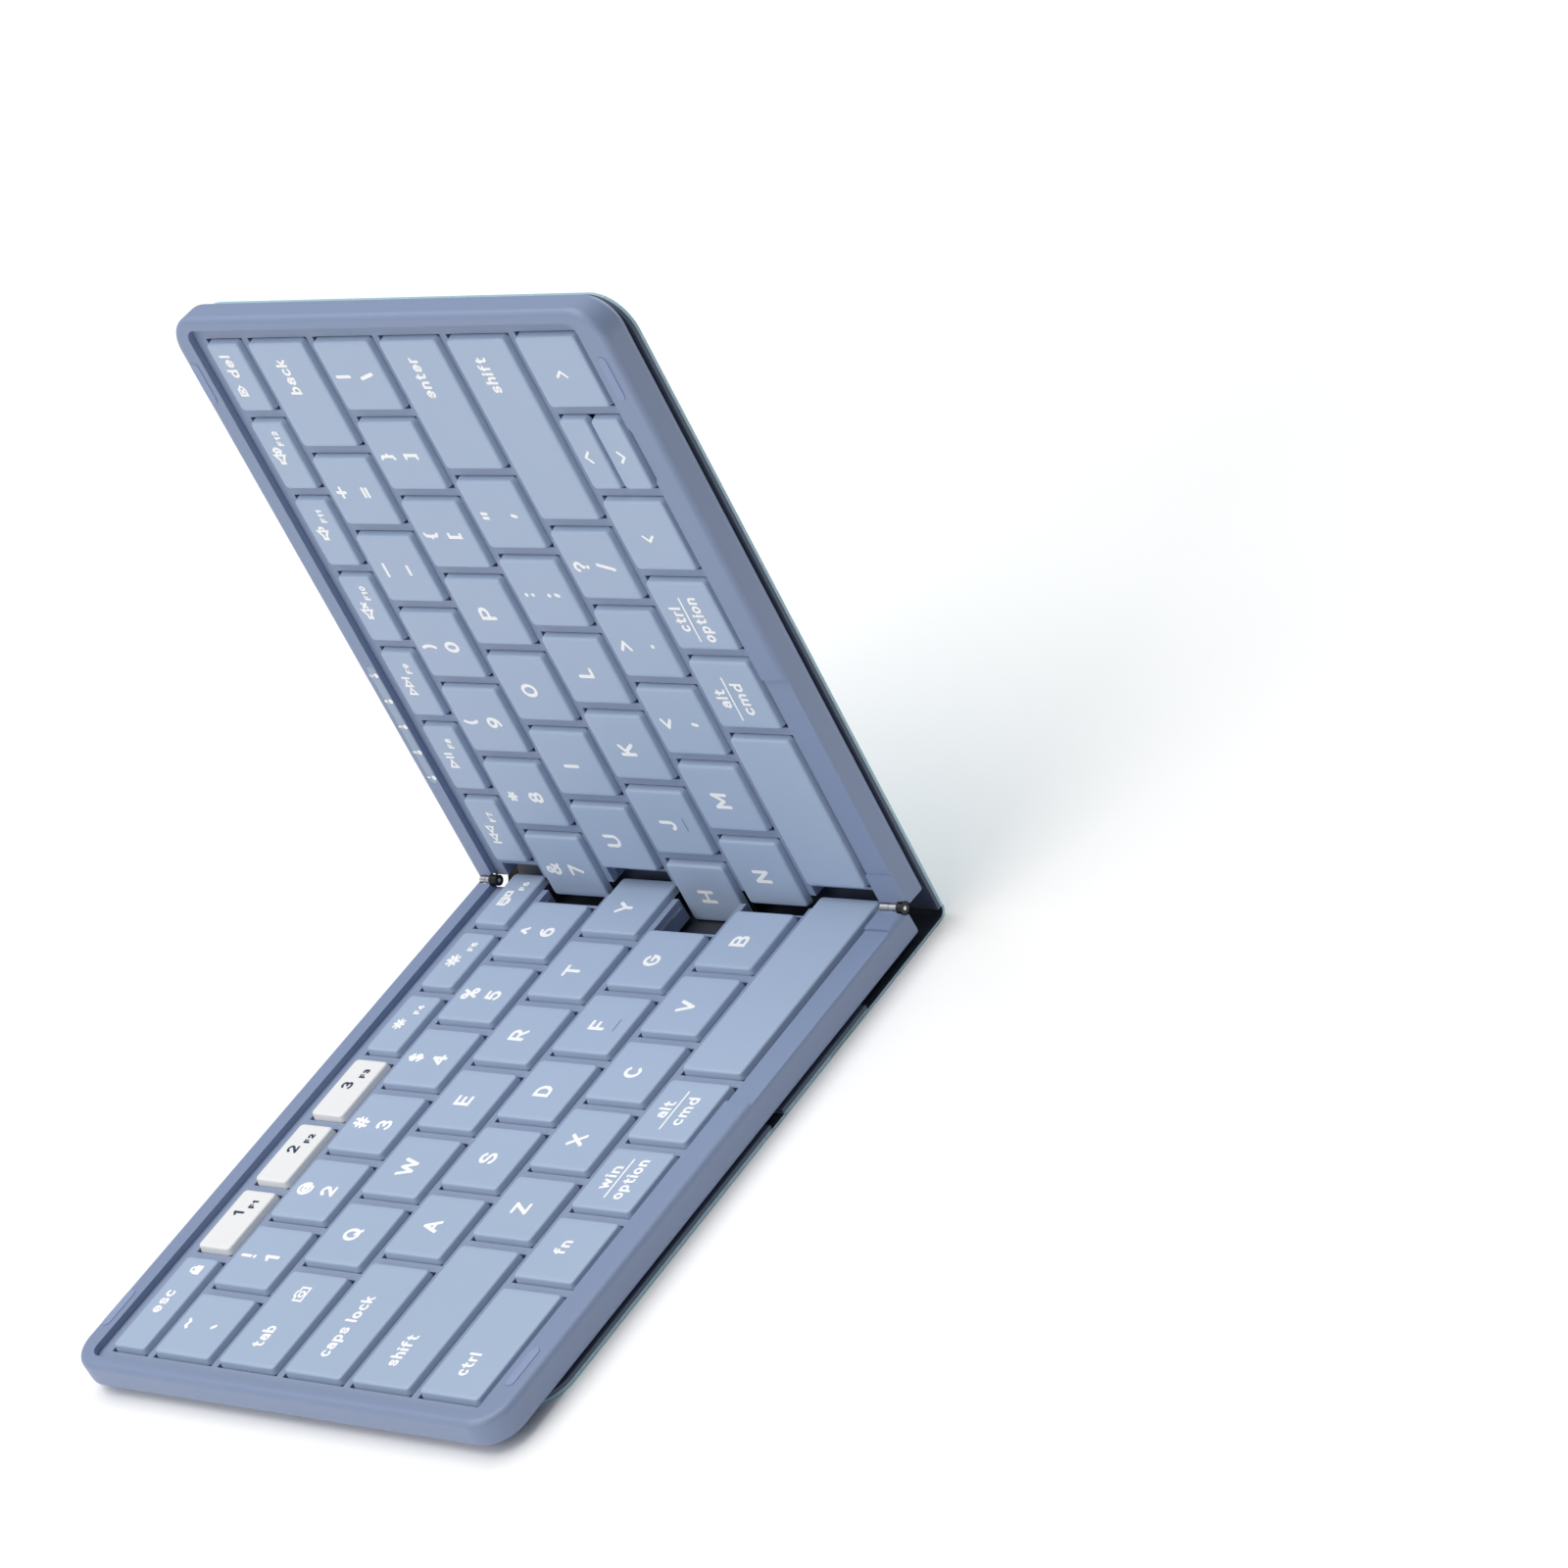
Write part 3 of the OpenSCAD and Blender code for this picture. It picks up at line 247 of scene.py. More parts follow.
class GroupBuilder:
    """Builds the shader node groups that several materials share."""

    BUMP_MM = 0.1
    PLASTIC_DETAIL = 3.0
    LEATHER_DETAIL = 2.0
    FURROW = 0.28
    NOISE_SHARE = 0.35
    WARP_MM = 0.6
    STREAK_DETAIL = 2.0
    STREAK_SHARE = 0.05

    def __init__(self) -> None:
        """Makes one group for each kind of grain."""
        self.groups: dict[Grain, NodeTree] = {
            Grain.PLASTIC: self._noise("PlasticGrain", self.PLASTIC_DETAIL, 1.0),
            Grain.LEATHER: self._leather(),
            Grain.BRUSHED: self._noise("BrushedGrain", self.STREAK_DETAIL, self.STREAK_SHARE),
        }

    @staticmethod
    def _start(name: str) -> tuple[NodeTree, Node, Node]:
        """Makes an empty grain group with the sockets that every grain has.

        Args:
            name: Name of the group.

        Returns:
            The group, its input node and its output node.
        """
        tree = bpy.data.node_groups.new(name, "ShaderNodeTree")
        inputs, outputs = {"Scale": "Float", "Depth": "Float"}, {"Tone": "Float", "Normal": "Vector"}
        for side, sockets in (("INPUT", inputs), ("OUTPUT", outputs)):
            for socket, kind in sockets.items():
                tree.interface.new_socket(socket, in_out=side, socket_type=f"NodeSocket{kind}")
        return tree, tree.nodes.new("NodeGroupInput"), tree.nodes.new("NodeGroupOutput")

    def _finish(
        self, tree: NodeTree, source: Node, sink: Node, height: NodeSocket, tone: NodeSocket
    ) -> NodeTree:
        """Joins a height and a tone to the group's outputs.

        Args:
            tree: The group.
            source: Its input node.
            sink: Its output node.
            height: Socket that gives the surface height, from 0 to 1.
            tone: Socket that gives the light and dark of the grain, from 0 to 1.

        Returns:
            The finished group.
        """
        bump = tree.nodes.new("ShaderNodeBump")
        bump.inputs["Distance"].default_value = self.BUMP_MM * MM
        tree.links.new(source.outputs["Depth"], bump.inputs["Strength"])
        tree.links.new(height, bump.inputs["Height"])
        tree.links.new(bump.outputs["Normal"], sink.inputs["Normal"])
        tree.links.new(tone, sink.inputs["Tone"])
        return tree

    def _noise(self, name: str, detail: float, share: float) -> NodeTree:
        """Makes a fine even grain, as on moulded plastic, or streaks along Y, as on drawn steel.

        Args:
            name: Name of the group.
            detail: Detail of the noise.
            share: Scale along Y as a share of the scale across it: 1 is even, less is streaks.

        Returns:
            The group.
        """
        tree, source, sink = self._start(name)
        coords = tree.nodes.new("ShaderNodeTexCoord")
        stretch = tree.nodes.new("ShaderNodeMapping")
        stretch.inputs["Scale"].default_value = (1.0, share, 1.0)
        noise = tree.nodes.new("ShaderNodeTexNoise")
        noise.inputs["Detail"].default_value = detail
        tree.links.new(coords.outputs["Object"], stretch.inputs["Vector"])
        tree.links.new(stretch.outputs["Vector"], noise.inputs["Vector"])
        tree.links.new(source.outputs["Scale"], noise.inputs["Scale"])
        return self._finish(tree, source, sink, noise.outputs["Fac"], noise.outputs["Fac"])

    def _leather(self) -> NodeTree:
        """Makes pebbled leather: rounded cells between shallow furrows, broken up by noise.

        Returns:
            The group.
        """
        tree, source, sink = self._start("LeatherGrain")
        coords = tree.nodes.new("ShaderNodeTexCoord")
        warp = tree.nodes.new("ShaderNodeTexNoise")
        warp.inputs["Detail"].default_value = self.LEATHER_DETAIL
        cells = tree.nodes.new("ShaderNodeTexVoronoi")
        cells.feature = "DISTANCE_TO_EDGE"
        ramp = tree.nodes.new("ShaderNodeMapRange")
        ramp.inputs["From Max"].default_value = self.FURROW
        mix = tree.nodes.new("ShaderNodeMath")
        mix.operation = "MULTIPLY_ADD"
        mix.inputs[1].default_value = self.NOISE_SHARE
        shift = tree.nodes.new("ShaderNodeVectorMath")
        shift.operation = "MULTIPLY_ADD"
        shift.inputs[1].default_value = [self.WARP_MM * MM] * 3
        tree.links.new(coords.outputs["Object"], warp.inputs["Vector"])
        tree.links.new(source.outputs["Scale"], warp.inputs["Scale"])
        tree.links.new(warp.outputs["Color"], shift.inputs[0])
        tree.links.new(coords.outputs["Object"], shift.inputs[2])
        tree.links.new(shift.outputs["Vector"], cells.inputs["Vector"])
        tree.links.new(source.outputs["Scale"], cells.inputs["Scale"])
        tree.links.new(cells.outputs["Distance"], ramp.inputs["Value"])
        tree.links.new(warp.outputs["Fac"], mix.inputs[0])
        tree.links.new(ramp.outputs["Result"], mix.inputs[2])
        return self._finish(tree, source, sink, mix.outputs["Value"], ramp.outputs["Result"])


class Paintbox:
    """Makes each finish's material once and hands it out."""

    TONE_SHARE = 0.08

    def __init__(self) -> None:
        """Starts with the shared grain groups and no materials."""
        self.grains = GroupBuilder()
        self.made: dict[str, Material] = {}

    def material(self, finish: Finish) -> Material:
        """Gives the material of a finish.

        Args:
            finish: The finish.

        Returns:
            Its material, made on first use.
        """
        if finish.name not in self.made:
            self.made[finish.name] = self._make(finish)
        return self.made[finish.name]

    def _make(self, finish: Finish) -> Material:
        """Builds a Principled material with its grain.

        Args:
            finish: The finish.

        Returns:
            The new material.
        """
        material = bpy.data.materials.new(finish.name)
        material.use_nodes = True
        tree = material.node_tree
        shader = tree.nodes["Principled BSDF"]
        color = linear(finish.color)
        shader.inputs["Base Color"].default_value = color
        shader.inputs["Roughness"].default_value = finish.roughness
        shader.inputs["Metallic"].default_value = finish.metallic
        shader.inputs["Coat Weight"].default_value = finish.coat
        if finish.grain is not Grain.NONE:
            grain = tree.nodes.new("ShaderNodeGroup")
            grain.node_tree = self.grains.groups[finish.grain]
            grain.inputs["Scale"].default_value = 1 / (finish.grain_size_mm * MM)
            grain.inputs["Depth"].default_value = finish.grain_depth
            tree.links.new(grain.outputs["Normal"], shader.inputs["Normal"])
            blend = tree.nodes.new("ShaderNodeMix")
            blend.data_type = "RGBA"
            low = 1 - self.TONE_SHARE
            blend.inputs["A"].default_value = (color[0] * low, color[1] * low, color[2] * low, 1.0)
            blend.inputs["B"].default_value = color
            tree.links.new(grain.outputs["Tone"], blend.inputs["Factor"])
            tree.links.new(blend.outputs["Result"], shader.inputs["Base Color"])
        return material


def show(name: str, data: Mesh) -> Object:
    """Puts a mesh in the scene as a new piece.

    Args:
        name: Name of the piece.
        data: Its mesh.

    Returns:
        The piece.
    """
    made = bpy.data.objects.new(name, data)
    bpy.context.scene.collection.objects.link(made)
    LOG.info("%s: %d faces", name, len(data.polygons))
    return made


@dataclass(frozen=True)
class HalfFrame:
    """Frame of one half of the keyboard, with its hinge axis as the Y axis."""

    WELD_MM = 0.001

    body: str
    to_row: Matrix

    def solid_boxes(self, node: str) -> list[tuple[Vector, Vector]]:
        """Measures each separate solid of a CAD node in this frame.

        Args:
            node: Name of the node.

        Returns:
            Lowest and highest corner of each solid in millimetres, from left to right.
        """
        mesh = bmesh.new()
        mesh.from_mesh(frame["nodes"][node].data)
        mesh.transform(self.to_row.inverted())
        bmesh.ops.remove_doubles(mesh, verts=mesh.verts, dist=self.WELD_MM * MM)
        boxes = []
        left = set(mesh.verts)
        while left:
            stack = [left.pop()]
            points = []
            while stack:
                vertex = stack.pop()
                points.append(vertex.co / MM)
                for edge in vertex.link_edges:
                    other = edge.other_vert(vertex)
                    if other in left:
                        left.remove(other)
                        stack.append(other)
            low = Vector([min(p[i] for p in points) for i in range(3)])
            high = Vector([max(p[i] for p in points) for i in range(3)])
            boxes.append((low, high))
        mesh.free()
        return sorted(boxes, key=lambda pair: (round(pair[0].x), pair[0].y))

    def piece(self, name: str, mesh: BMesh, materials: Sequence[Material]) -> Object:
        """Turns a mesh drawn in this frame, in millimetres, into a piece in the row frame.

        Args:
            name: Name of the piece.
            mesh: The mesh, which is used up.
            materials: Its materials, in slot order.

        Returns:
            The new piece.
        """
        mesh.transform(self.to_row @ Matrix.Scale(MM, 4))
        data = bpy.data.meshes.new(name)
        mesh.to_mesh(data)
        mesh.free()
        for material in materials:
            data.materials.append(material)
        return show(name, data)


def ring(x: Span, y: Span, radii: Sequence[float], steps: int) -> list[Point]:
    """Gives the outline of a rectangle with rounded corners, counter-clockwise.

    Args:
        x: Span along X.
        y: Span along Y.
        radii: Corner radii: right front, right rear, left rear, left front.
        steps: Segments in each corner.

    Returns:
        The outline's points.
    """
    corners = ((x[1], y[0], -90), (x[1], y[1], 0), (x[0], y[1], 90), (x[0], y[0], 180))
    points = []
    for (cx, cy, start), radius in zip(corners, radii):
        centre_x = cx - radius if cx == x[1] else cx + radius
        centre_y = cy - radius if cy == y[1] else cy + radius
        for step in range(steps + 1):
            angle = math.radians(start + 90 * step / steps)
            points.append((centre_x + radius * math.cos(angle), centre_y + radius * math.sin(angle)))
    return points


@dataclass(frozen=True)
class Layer:
    """One level of a lofted slab: how far it is drawn in, and its height."""

    inset: float
    z: float


def loft(
    mesh: BMesh,
    x: Span,
    y: Span,
    radii: Sequence[float],
    layers: Sequence[Layer],
    steps: int,
    slot: int = 0,
) -> None:
    """Adds a closed slab whose outline follows a list of layers from one face to the other.

    Args:
        mesh: Mesh to add to.
        x: Span along X at zero inset.
        y: Span along Y at zero inset.
        radii: Corner radii at zero inset, as ring() takes them.
        layers: The layers, from the lowest face to the highest.
        steps: Segments in each corner.
        slot: Material slot of the faces.
    """
    loops = []
    for layer in layers:
        shrunk = [max(radius - layer.inset, LEAST_RADIUS) for radius in radii]
        span_x = (x[0] + layer.inset, x[1] - layer.inset)
        span_y = (y[0] + layer.inset, y[1] - layer.inset)
        loops.append([mesh.verts.new((px, py, layer.z)) for px, py in ring(span_x, span_y, shrunk, steps)])
    faces = [mesh.faces.new(list(reversed(loops[0]))), mesh.faces.new(loops[-1])]
    for lower, upper in zip(loops, loops[1:]):
        for i in range(len(lower)):
            j = (i + 1) % len(lower)
            faces.append(mesh.faces.new((lower[i], lower[j], upper[j], upper[i])))
    for face in faces:
        face.material_index = slot
        face.smooth = True


def shade(piece: Object, angle: float) -> None:
    """Shades a piece smooth except across sharp edges.

    Args:
        piece: The piece.
        angle: Smallest angle in degrees that stays sharp.
    """
    piece.data.polygons.foreach_set("use_smooth", [True] * len(piece.data.polygons))
    piece.data.set_sharp_from_angle(angle=math.radians(angle))


# Each sign is a set of strokes on a grid whose capitals are 5 high. "|" parts two strokes,
# "x,y" is a point and "x,y;rx,ry;from,to" is an arc round x,y with its angles in degrees.
SPEAKER = "0,1.6 0,3.4 1.4,3.4 3.4,5 3.4,0 1.4,1.6 0,1.6"
GLYPHS: dict[str, str] = {
    "A": "0,0 1.75,5 3.5,0|.6,1.5 2.9,1.5",
    "B": "0,2.6 0,5 1.7,3.8;1.25,1.2;90,-90 0,2.6|0,2.6 0,0 1.8,1.3;1.4,1.3;-90,90",
    "C": "1.75,2.5;1.75,2.5;48,312",
    "D": "0,0 0,5 1.4,2.5;1.8,2.5;90,-90 0,0",
    "E": "2.7,5 0,5 0,0 2.7,0|0,2.6 2.4,2.6",
    "F": "2.6,5 0,5 0,0|0,2.4 2.3,2.4",
    "G": "1.75,2.5;1.75,2.5;48,360 2,2.5",
    "H": "0,0 0,5|3.4,0 3.4,5|0,2.6 3.4,2.6",
    "I": "0,0 0,5",
    "J": "2.3,5 1.15,1.3;1.15,1.3;0,-160",
    "K": "0,0 0,5|3,5 0,2|1.1,3.1 3.3,0",
    "L": "0,5 0,0 2.4,0",
    "M": "0,0 0,5 2.15,1.4 4.3,5 4.3,0",
    "N": "0,0 0,5 3.4,0 3.4,5",
    "O": "1.8,2.5;1.8,2.5;0,360",
    "P": "0,0 0,5 1.9,3.55;1.35,1.45;90,-90 0,2.1",
    "Q": "1.8,2.5;1.8,2.5;0,360|2.1,1.3 3.5,-.4",
    "R": "0,0 0,5 1.8,3.6;1.35,1.4;90,-90 0,2.2|1.6,2.2 3.2,0",
    "S": "1.65,3.75;1.45,1.25;20,270 1.65,1.25;1.6,1.25;90,-160",
    "T": "0,5 3.4,5|1.7,5 1.7,0",
    "U": "0,5 1.7,1.7;1.7,1.7;180,360 3.4,5",
    "V": "0,5 1.75,0 3.5,5",
    "W": "0,5 1.35,0 2.8,4.6 4.25,0 5.6,5",
    "X": "0,0 3.3,5|0,5 3.3,0",
    "Y": "0,5 1.7,2.2 3.4,5|1.7,2.2 1.7,0",
    "Z": "0,5 3,5 0,0 3,0",
    "0": "1.5,2.5;1.5,2.5;0,360",
    "1": "0,4 1.3,5 1.3,0",
    "2": "1.5,3.5;1.45,1.5;165,-35 0,0 3,0",
    "3": "1.4,3.75;1.3,1.25;150,-90 1.4,1.25;1.5,1.25;90,-155",
    "4": "2.3,0 2.3,5 0,1.4 3.2,1.4",
    "5": "2.8,5 .4,5 .2,2.7 1.4,1.6;1.5,1.6;125,-155",
    "6": "1.5,1.6;1.5,1.6;0,360|0,1.7 2.4,2.1;2.4,2.9;180,95",
    "7": "0,5 3,5 1,0",
    "8": "1.5,3.75;1.3,1.25;0,360|1.5,1.3;1.5,1.3;0,360",
    "9": "1.5,3.4;1.5,1.6;0,360|3,3.3 .6,2.9;2.4,2.9;0,-85",
    "a": "1.3,2.35;1.2,1.1;150,0 2.5,0|1.25,1;1.25,1;0,360",
    "b": "0,0 0,5.2|1.35,1.7;1.35,1.7;0,360",
    "c": "1.4,1.7;1.4,1.7;50,310",
    "d": "2.7,0 2.7,5.2|1.35,1.7;1.35,1.7;0,360",
    "e": ".05,1.75 1.4,1.7;1.38,1.7;0,310",
    "f": ".6,0 1.6,4.2;1,1;180,90 1.9,5.2|0,3.4 1.7,3.4",
    "h": "0,0 0,5.2|0,2 1.25,2.1;1.25,1.3;180,0 2.5,0",
    "i": "0,0 0,3.4|0,4.9",
    "k": "0,0 0,5.2|2.3,3.4 0,1.3|.9,2.1 2.5,0",
    "l": "0,0 0,5.2",
    "m": "0,0 0,3.4|0,2 1.1,2.2;1.1,1.2;180,0 2.2,0|2.2,2 3.3,2.2;1.1,1.2;180,0 4.4,0",
    "n": "0,0 0,3.4|0,2 1.25,2.1;1.25,1.3;180,0 2.5,0",
    "o": "1.4,1.7;1.4,1.7;0,360",
    "p": "0,-1.6 0,3.4|1.35,1.7;1.35,1.7;0,360",
    "r": "0,0 0,3.4|0,1.9 1.2,2;1.2,1.4;180,80",
    "s": "1.2,2.55;1.1,.85;25,270 1.2,.85;1.2,.85;90,-160",
    "t": ".7,4.6 1.5,.9;.8,.9;180,270 1.9,0|0,3.4 1.8,3.4",
    "w": "0,3.4 .95,0 2,3.2 3.05,0 4,3.4",
    "~": "0,3.3 .8,4 2.2,3.4 3,4.1",
    "`": "0,3 .7,2",
    "!": "0,5 0,1.7|0,0",
    "@": "2,2.4;.8,1;0,360|2,2.5;2,2.5;-10,300|2.8,3.4 2.9,1.5 3.7,1.5",
    "#": ".6,0 1.3,5|2.2,0 2.9,5|0,1.6 3.3,1.6|.2,3.4 3.5,3.4",
    "$": "1.2,3.6;1.1,.95;20,270 1.2,1.6;1.2,1.05;90,-160|1.2,5 1.2,0",
    "%": ".8,4;.75,1;0,360|3.3,1;.75,1;0,360|3.2,5 .9,0",
    "^": "0,1 1,3.1 2,1",
    "&": "3.4,0 .75,3.3 1.5,4.1;.85,.9;205,-25 .6,2.2 1.5,1.3;1.4,1.3;150,300 3.2,2.4",
    "*": "1.5,1.2 1.5,4|.3,1.9 2.7,3.3|.3,3.3 2.7,1.9",
    "(": "1.6,2.5;1.4,3;125,235",
    ")": "-.6,2.5;1.4,3;55,-55",
    "_": "0,2.6 4,2.6",
    "-": "0,2.6 2.8,2.6",
    "+": "0,3 3.2,3|1.6,1.4 1.6,4.6",
    "=": "0,3.4 2.8,3.4|0,1.7 2.8,1.7",
    "{": "1.2,5 .5,4.6 .5,3 0,2.5 .5,2 .5,.4 1.2,0",
    "}": "0,5 .7,4.6 .7,3 1.2,2.5 .7,2 .7,.4 0,0",
    "[": "1,5 0,5 0,0 1,0",
    "]": "0,5 1,5 1,0 0,0",
    "|": "0,0 0,5",
    "\\": "0,5 1.5,0",
    ":": "0,3.8|0,1.2",
    ";": "0,4.5|.3,1.5 0,.4",
    "\"": ".3,3.9 .2,2.3|1.8,3.9 1.7,2.3",
    "'": ".3,1.6 0,.1",
    "<": "2.6,4 0,2.3 2.6,.6",
    ">": "0,4 2.6,2.3 0,.6",
    ",": ".3,1.6 0,.1",
    ".": "0,.9",
    "?": "1.35,3.7;1.3,1.3;165,-45 1.3,2.2 1.3,1.5|1.3,0",
    "/": "0,-.6 1.6,5.6",
    "rule": "0,2.5 5,2.5",
    "left": "2.3,5 0,2.5 2.3,0",
    "right": "0,5 2.3,2.5 0,0",
    "up": "0,1.3 2.3,3.7 4.6,1.3",
    "down": "0,3.7 2.3,1.3 4.6,3.7",
    "sun": "2.5,2.5;.9,.9;0,360|2.5,4.3 2.5,5|2.5,.7 2.5,0|4.3,2.5 5,2.5|.7,2.5 0,2.5"
        "|3.7,3.7 4.3,4.3|1.3,3.7 .7,4.3|3.7,1.3 4.3,.7|1.3,1.3 .7,.7",
    "screens": "0,.8 3.6,.8 3.6,4.6 0,4.6 0,.8|0,3 3.6,3|5,1.8 7.2,1.8 7.2,4.6 5,4.6 5,1.8|1,-.2 2.6,-.2",
    "previous": "0,.3 0,4.7|4.6,.3 1.2,2.5 4.6,4.7 4.6,.3|9.2,.3 5.8,2.5 9.2,4.7 9.2,.3",
    "play": "0,.3 3.8,2.5 0,4.7 0,.3|5.6,.3 5.6,4.7|7.6,.3 7.6,4.7",
    "next": "0,.3 3.4,2.5 0,4.7 0,.3|4.6,.3 8,2.5 4.6,4.7 4.6,.3|9.2,.3 9.2,4.7",
    "mute": SPEAKER + "|4.6,3.5 6.4,1.5|4.6,1.5 6.4,3.5",
    "quiet": SPEAKER + "|3.4,2.5;1.5,1.5;45,-45",
    "loud": SPEAKER + "|3.4,2.5;1.5,1.4;50,-50|3.4,2.5;3,2.4;50,-50",
    "erase": "0,0 3.6,0 5.8,2.5 3.6,5 0,5 0,0|1.4,1.5 3.2,3.5|1.4,3.5 3.2,1.5",
    "camera": "0,0 6,0 6,4 4.4,4 3.9,5 2.1,5 1.6,4 0,4 0,0|3,2;1.2,1.2;0,360",
    "lock": "0,0 3.4,0 3.4,2.6 0,2.6 0,0|.6,2.8 1.7,3.6;1.1,1.3;180,0 2.8,2.8|.2,.9 3.2,.9|.2,1.7 3.2,1.7",
}


@dataclass(frozen=True)
class Legend:
    """Words or a sign printed on a key, placed from the middle of its top in millimetres.

    A width of 0 keeps the natural width, and the weight is the stroke's share of the size.
    """

    text: str
    x: float = 0.0
    y: float = 0.0
    size: float = 3.0
    width: float = 0.0
    weight: float = 0.19
    # Set for the homing bar, whose darker line is painted shade rather than print.
    painted_shade: bool = False


# The homing bar is drawn flat and darker, as painted shade in place of the raised bar's own shading.
HOMING_BAR = Legend("rule", 0.4, -4.1, 1.6, 3.2, 0.17, painted_shade=True)


def letter(text: str) -> tuple[Legend, ...]:
    """Gives the legend of a letter key.

    Args:
        text: The letter.

    Returns:
        The key's legends.
    """
    return (Legend(text, 0.0, 0.55, 4.15),)


def pair(text: str) -> tuple[Legend, ...]:
    """Gives the legends of a key with a shifted sign over a plain one.

    Args:
        text: The shifted sign, then the plain one.

    Returns:
        The key's legends.
    """
    return Legend(text[0], 0.0, 3.9, 4.0, weight=0.18), Legend(text[1], 0.0, -2.45, 3.85, weight=0.2)


def word(text: str, x: float, width: float) -> tuple[Legend, ...]:
    """Gives the legend of a key with a word on it.

    Args:
        text: The word.
        x: Place of the word's middle along the key.
        width: Width of the word.

    Returns:
        The key's legends.
    """
    return (Legend(text, x, 1.2, 3.0, width),)


def stacked(upper: tuple[str, float], lower: tuple[str, float], x: float) -> tuple[Legend, ...]:
    """Gives the legends of a key with two words and a line between them.

    Args:
        upper: The upper word and its width.
        lower: The lower word and its width.
        x: Place of the words' middle along the key.

    Returns:
        The key's legends.
    """
    rule = Legend("rule", x, 1.05, 3.0, 10.0, 0.15)
    return Legend(upper[0], x, 3.45, 2.9, upper[1]), rule, Legend(lower[0], x, -1.65, 2.9, lower[1])


def function(sign: str, number: int, x: float, size: float = 2.6) -> tuple[Legend, ...]:
    """Gives the legends of a function key.

    Args:
        sign: What the key does, as a sign.
        number: Its number.
        x: Place of the sign along the key.
        size: Height of the sign.

    Returns:
        The key's legends.
    """
    return Legend(sign, x, 1.0, size), Legend(f"F{number}", 4.2, -1.05, 1.65, weight=0.26)


@dataclass(frozen=True)
class KeyRun:
    """The keys of one CAD node with the legends of each, from left to right."""

    node: str
    legends: tuple[tuple[Legend, ...], ...]
    white: int = 0


LEFT_RUNS = (
    KeyRun("escape_key", (word("esc", 0.2, 5.8) + (Legend("lock", 8.7, -0.5, 3.1, weight=0.18),),)),
    KeyRun("left_function_keys",
        (function("1", 1, 1.6, 2.85), function("2", 2, 1.1, 2.85), function("3", 3, 0.8, 2.85),
            function("sun", 4, 0.0, 3.0), function("sun", 5, 0.1, 3.5), function("screens", 6, 0.6, 3.1)), 3),
    KeyRun("left_number_keys", tuple(pair(t) for t in ("~`", "!1", "@2", "#3", "$4", "%5", "^6"))),
    KeyRun("tab_key", (word("tab", -4.5, 5.4) + (Legend("camera", 6.4, 0.8, 3.2, weight=0.15),),)),
    KeyRun("left_upper_keys", tuple(letter(t) for t in "QWERTY")),
    KeyRun("caps_lock_key", (word("caps lock", -1.7, 15.3),)),
    KeyRun("left_home_keys",
        (letter("A"), letter("S"), letter("D"), letter("F") + (HOMING_BAR,), letter("G"))),
    KeyRun("left_shift_key", (word("shift", -8.7, 7.7),)),
    KeyRun("left_lower_keys", tuple(letter(t) for t in "ZXCVB")),
    KeyRun("left_modifier_keys", (word("ctrl", -5.4, 5.5), word("fn", 0.6, 3.5),
        stacked(("win", 5.8), ("option", 10.1), 0.4),
        stacked(("alt", 4.3), ("cmd", 7.2), 0.25))),
    KeyRun("left_space_bar", ((),)),
)
RIGHT_RUNS = (
    KeyRun("right_function_keys",
        (function("previous", 7, -0.2), function("play", 8, 0.0), function("next", 9, 0.0),
            function("mute", 10, 0.0, 3.3), function("quiet", 11, 0.2, 3.3), function("loud", 12, 0.2, 3.3),
            (Legend("erase", -2.9, 1.2, 2.3, weight=0.2), Legend("del", 2.6, 0.9, 2.9, 5.1)))),
    KeyRun("right_number_keys", tuple(pair(t) for t in ("&7", "*8", "(9", ")0", "_-", "+="))),
    KeyRun("backspace_key", (word("back", 4.2, 7.9),)),
    KeyRun("right_upper_keys",
        tuple(letter(t) for t in "UIOP") + tuple(pair(t) for t in ("{[", "}]", "|\\"))),
    KeyRun("right_home_keys",
        (letter("H"), letter("J") + (HOMING_BAR,), letter("K"), letter("L"), pair(":;"), pair("\"'"))),
    KeyRun("enter_key", (word("enter", 6.2, 9.0),)),
    KeyRun("right_lower_keys", tuple(letter(t) for t in "NM") + tuple(pair(t) for t in ("<,", ">.", "?/"))),
    KeyRun("right_shift_key", (word("shift", 12.3, 7.8),)),
    KeyRun("right_space_bar", ((),)),
    KeyRun("right_modifier_keys", (stacked(("alt", 4.3), ("cmd", 7.2), -0.45),
        stacked(("ctrl", 5.5), ("option", 10.1), -0.45))),
    KeyRun("arrow_keys", ((Legend("left", -0.4, 0.45, 2.95),), (Legend("down", -0.4, 0.25, 2.95),),
        (Legend("up", -0.4, 0.7, 2.95),), (Legend("right", -0.35, 0.4, 2.95),))),
)


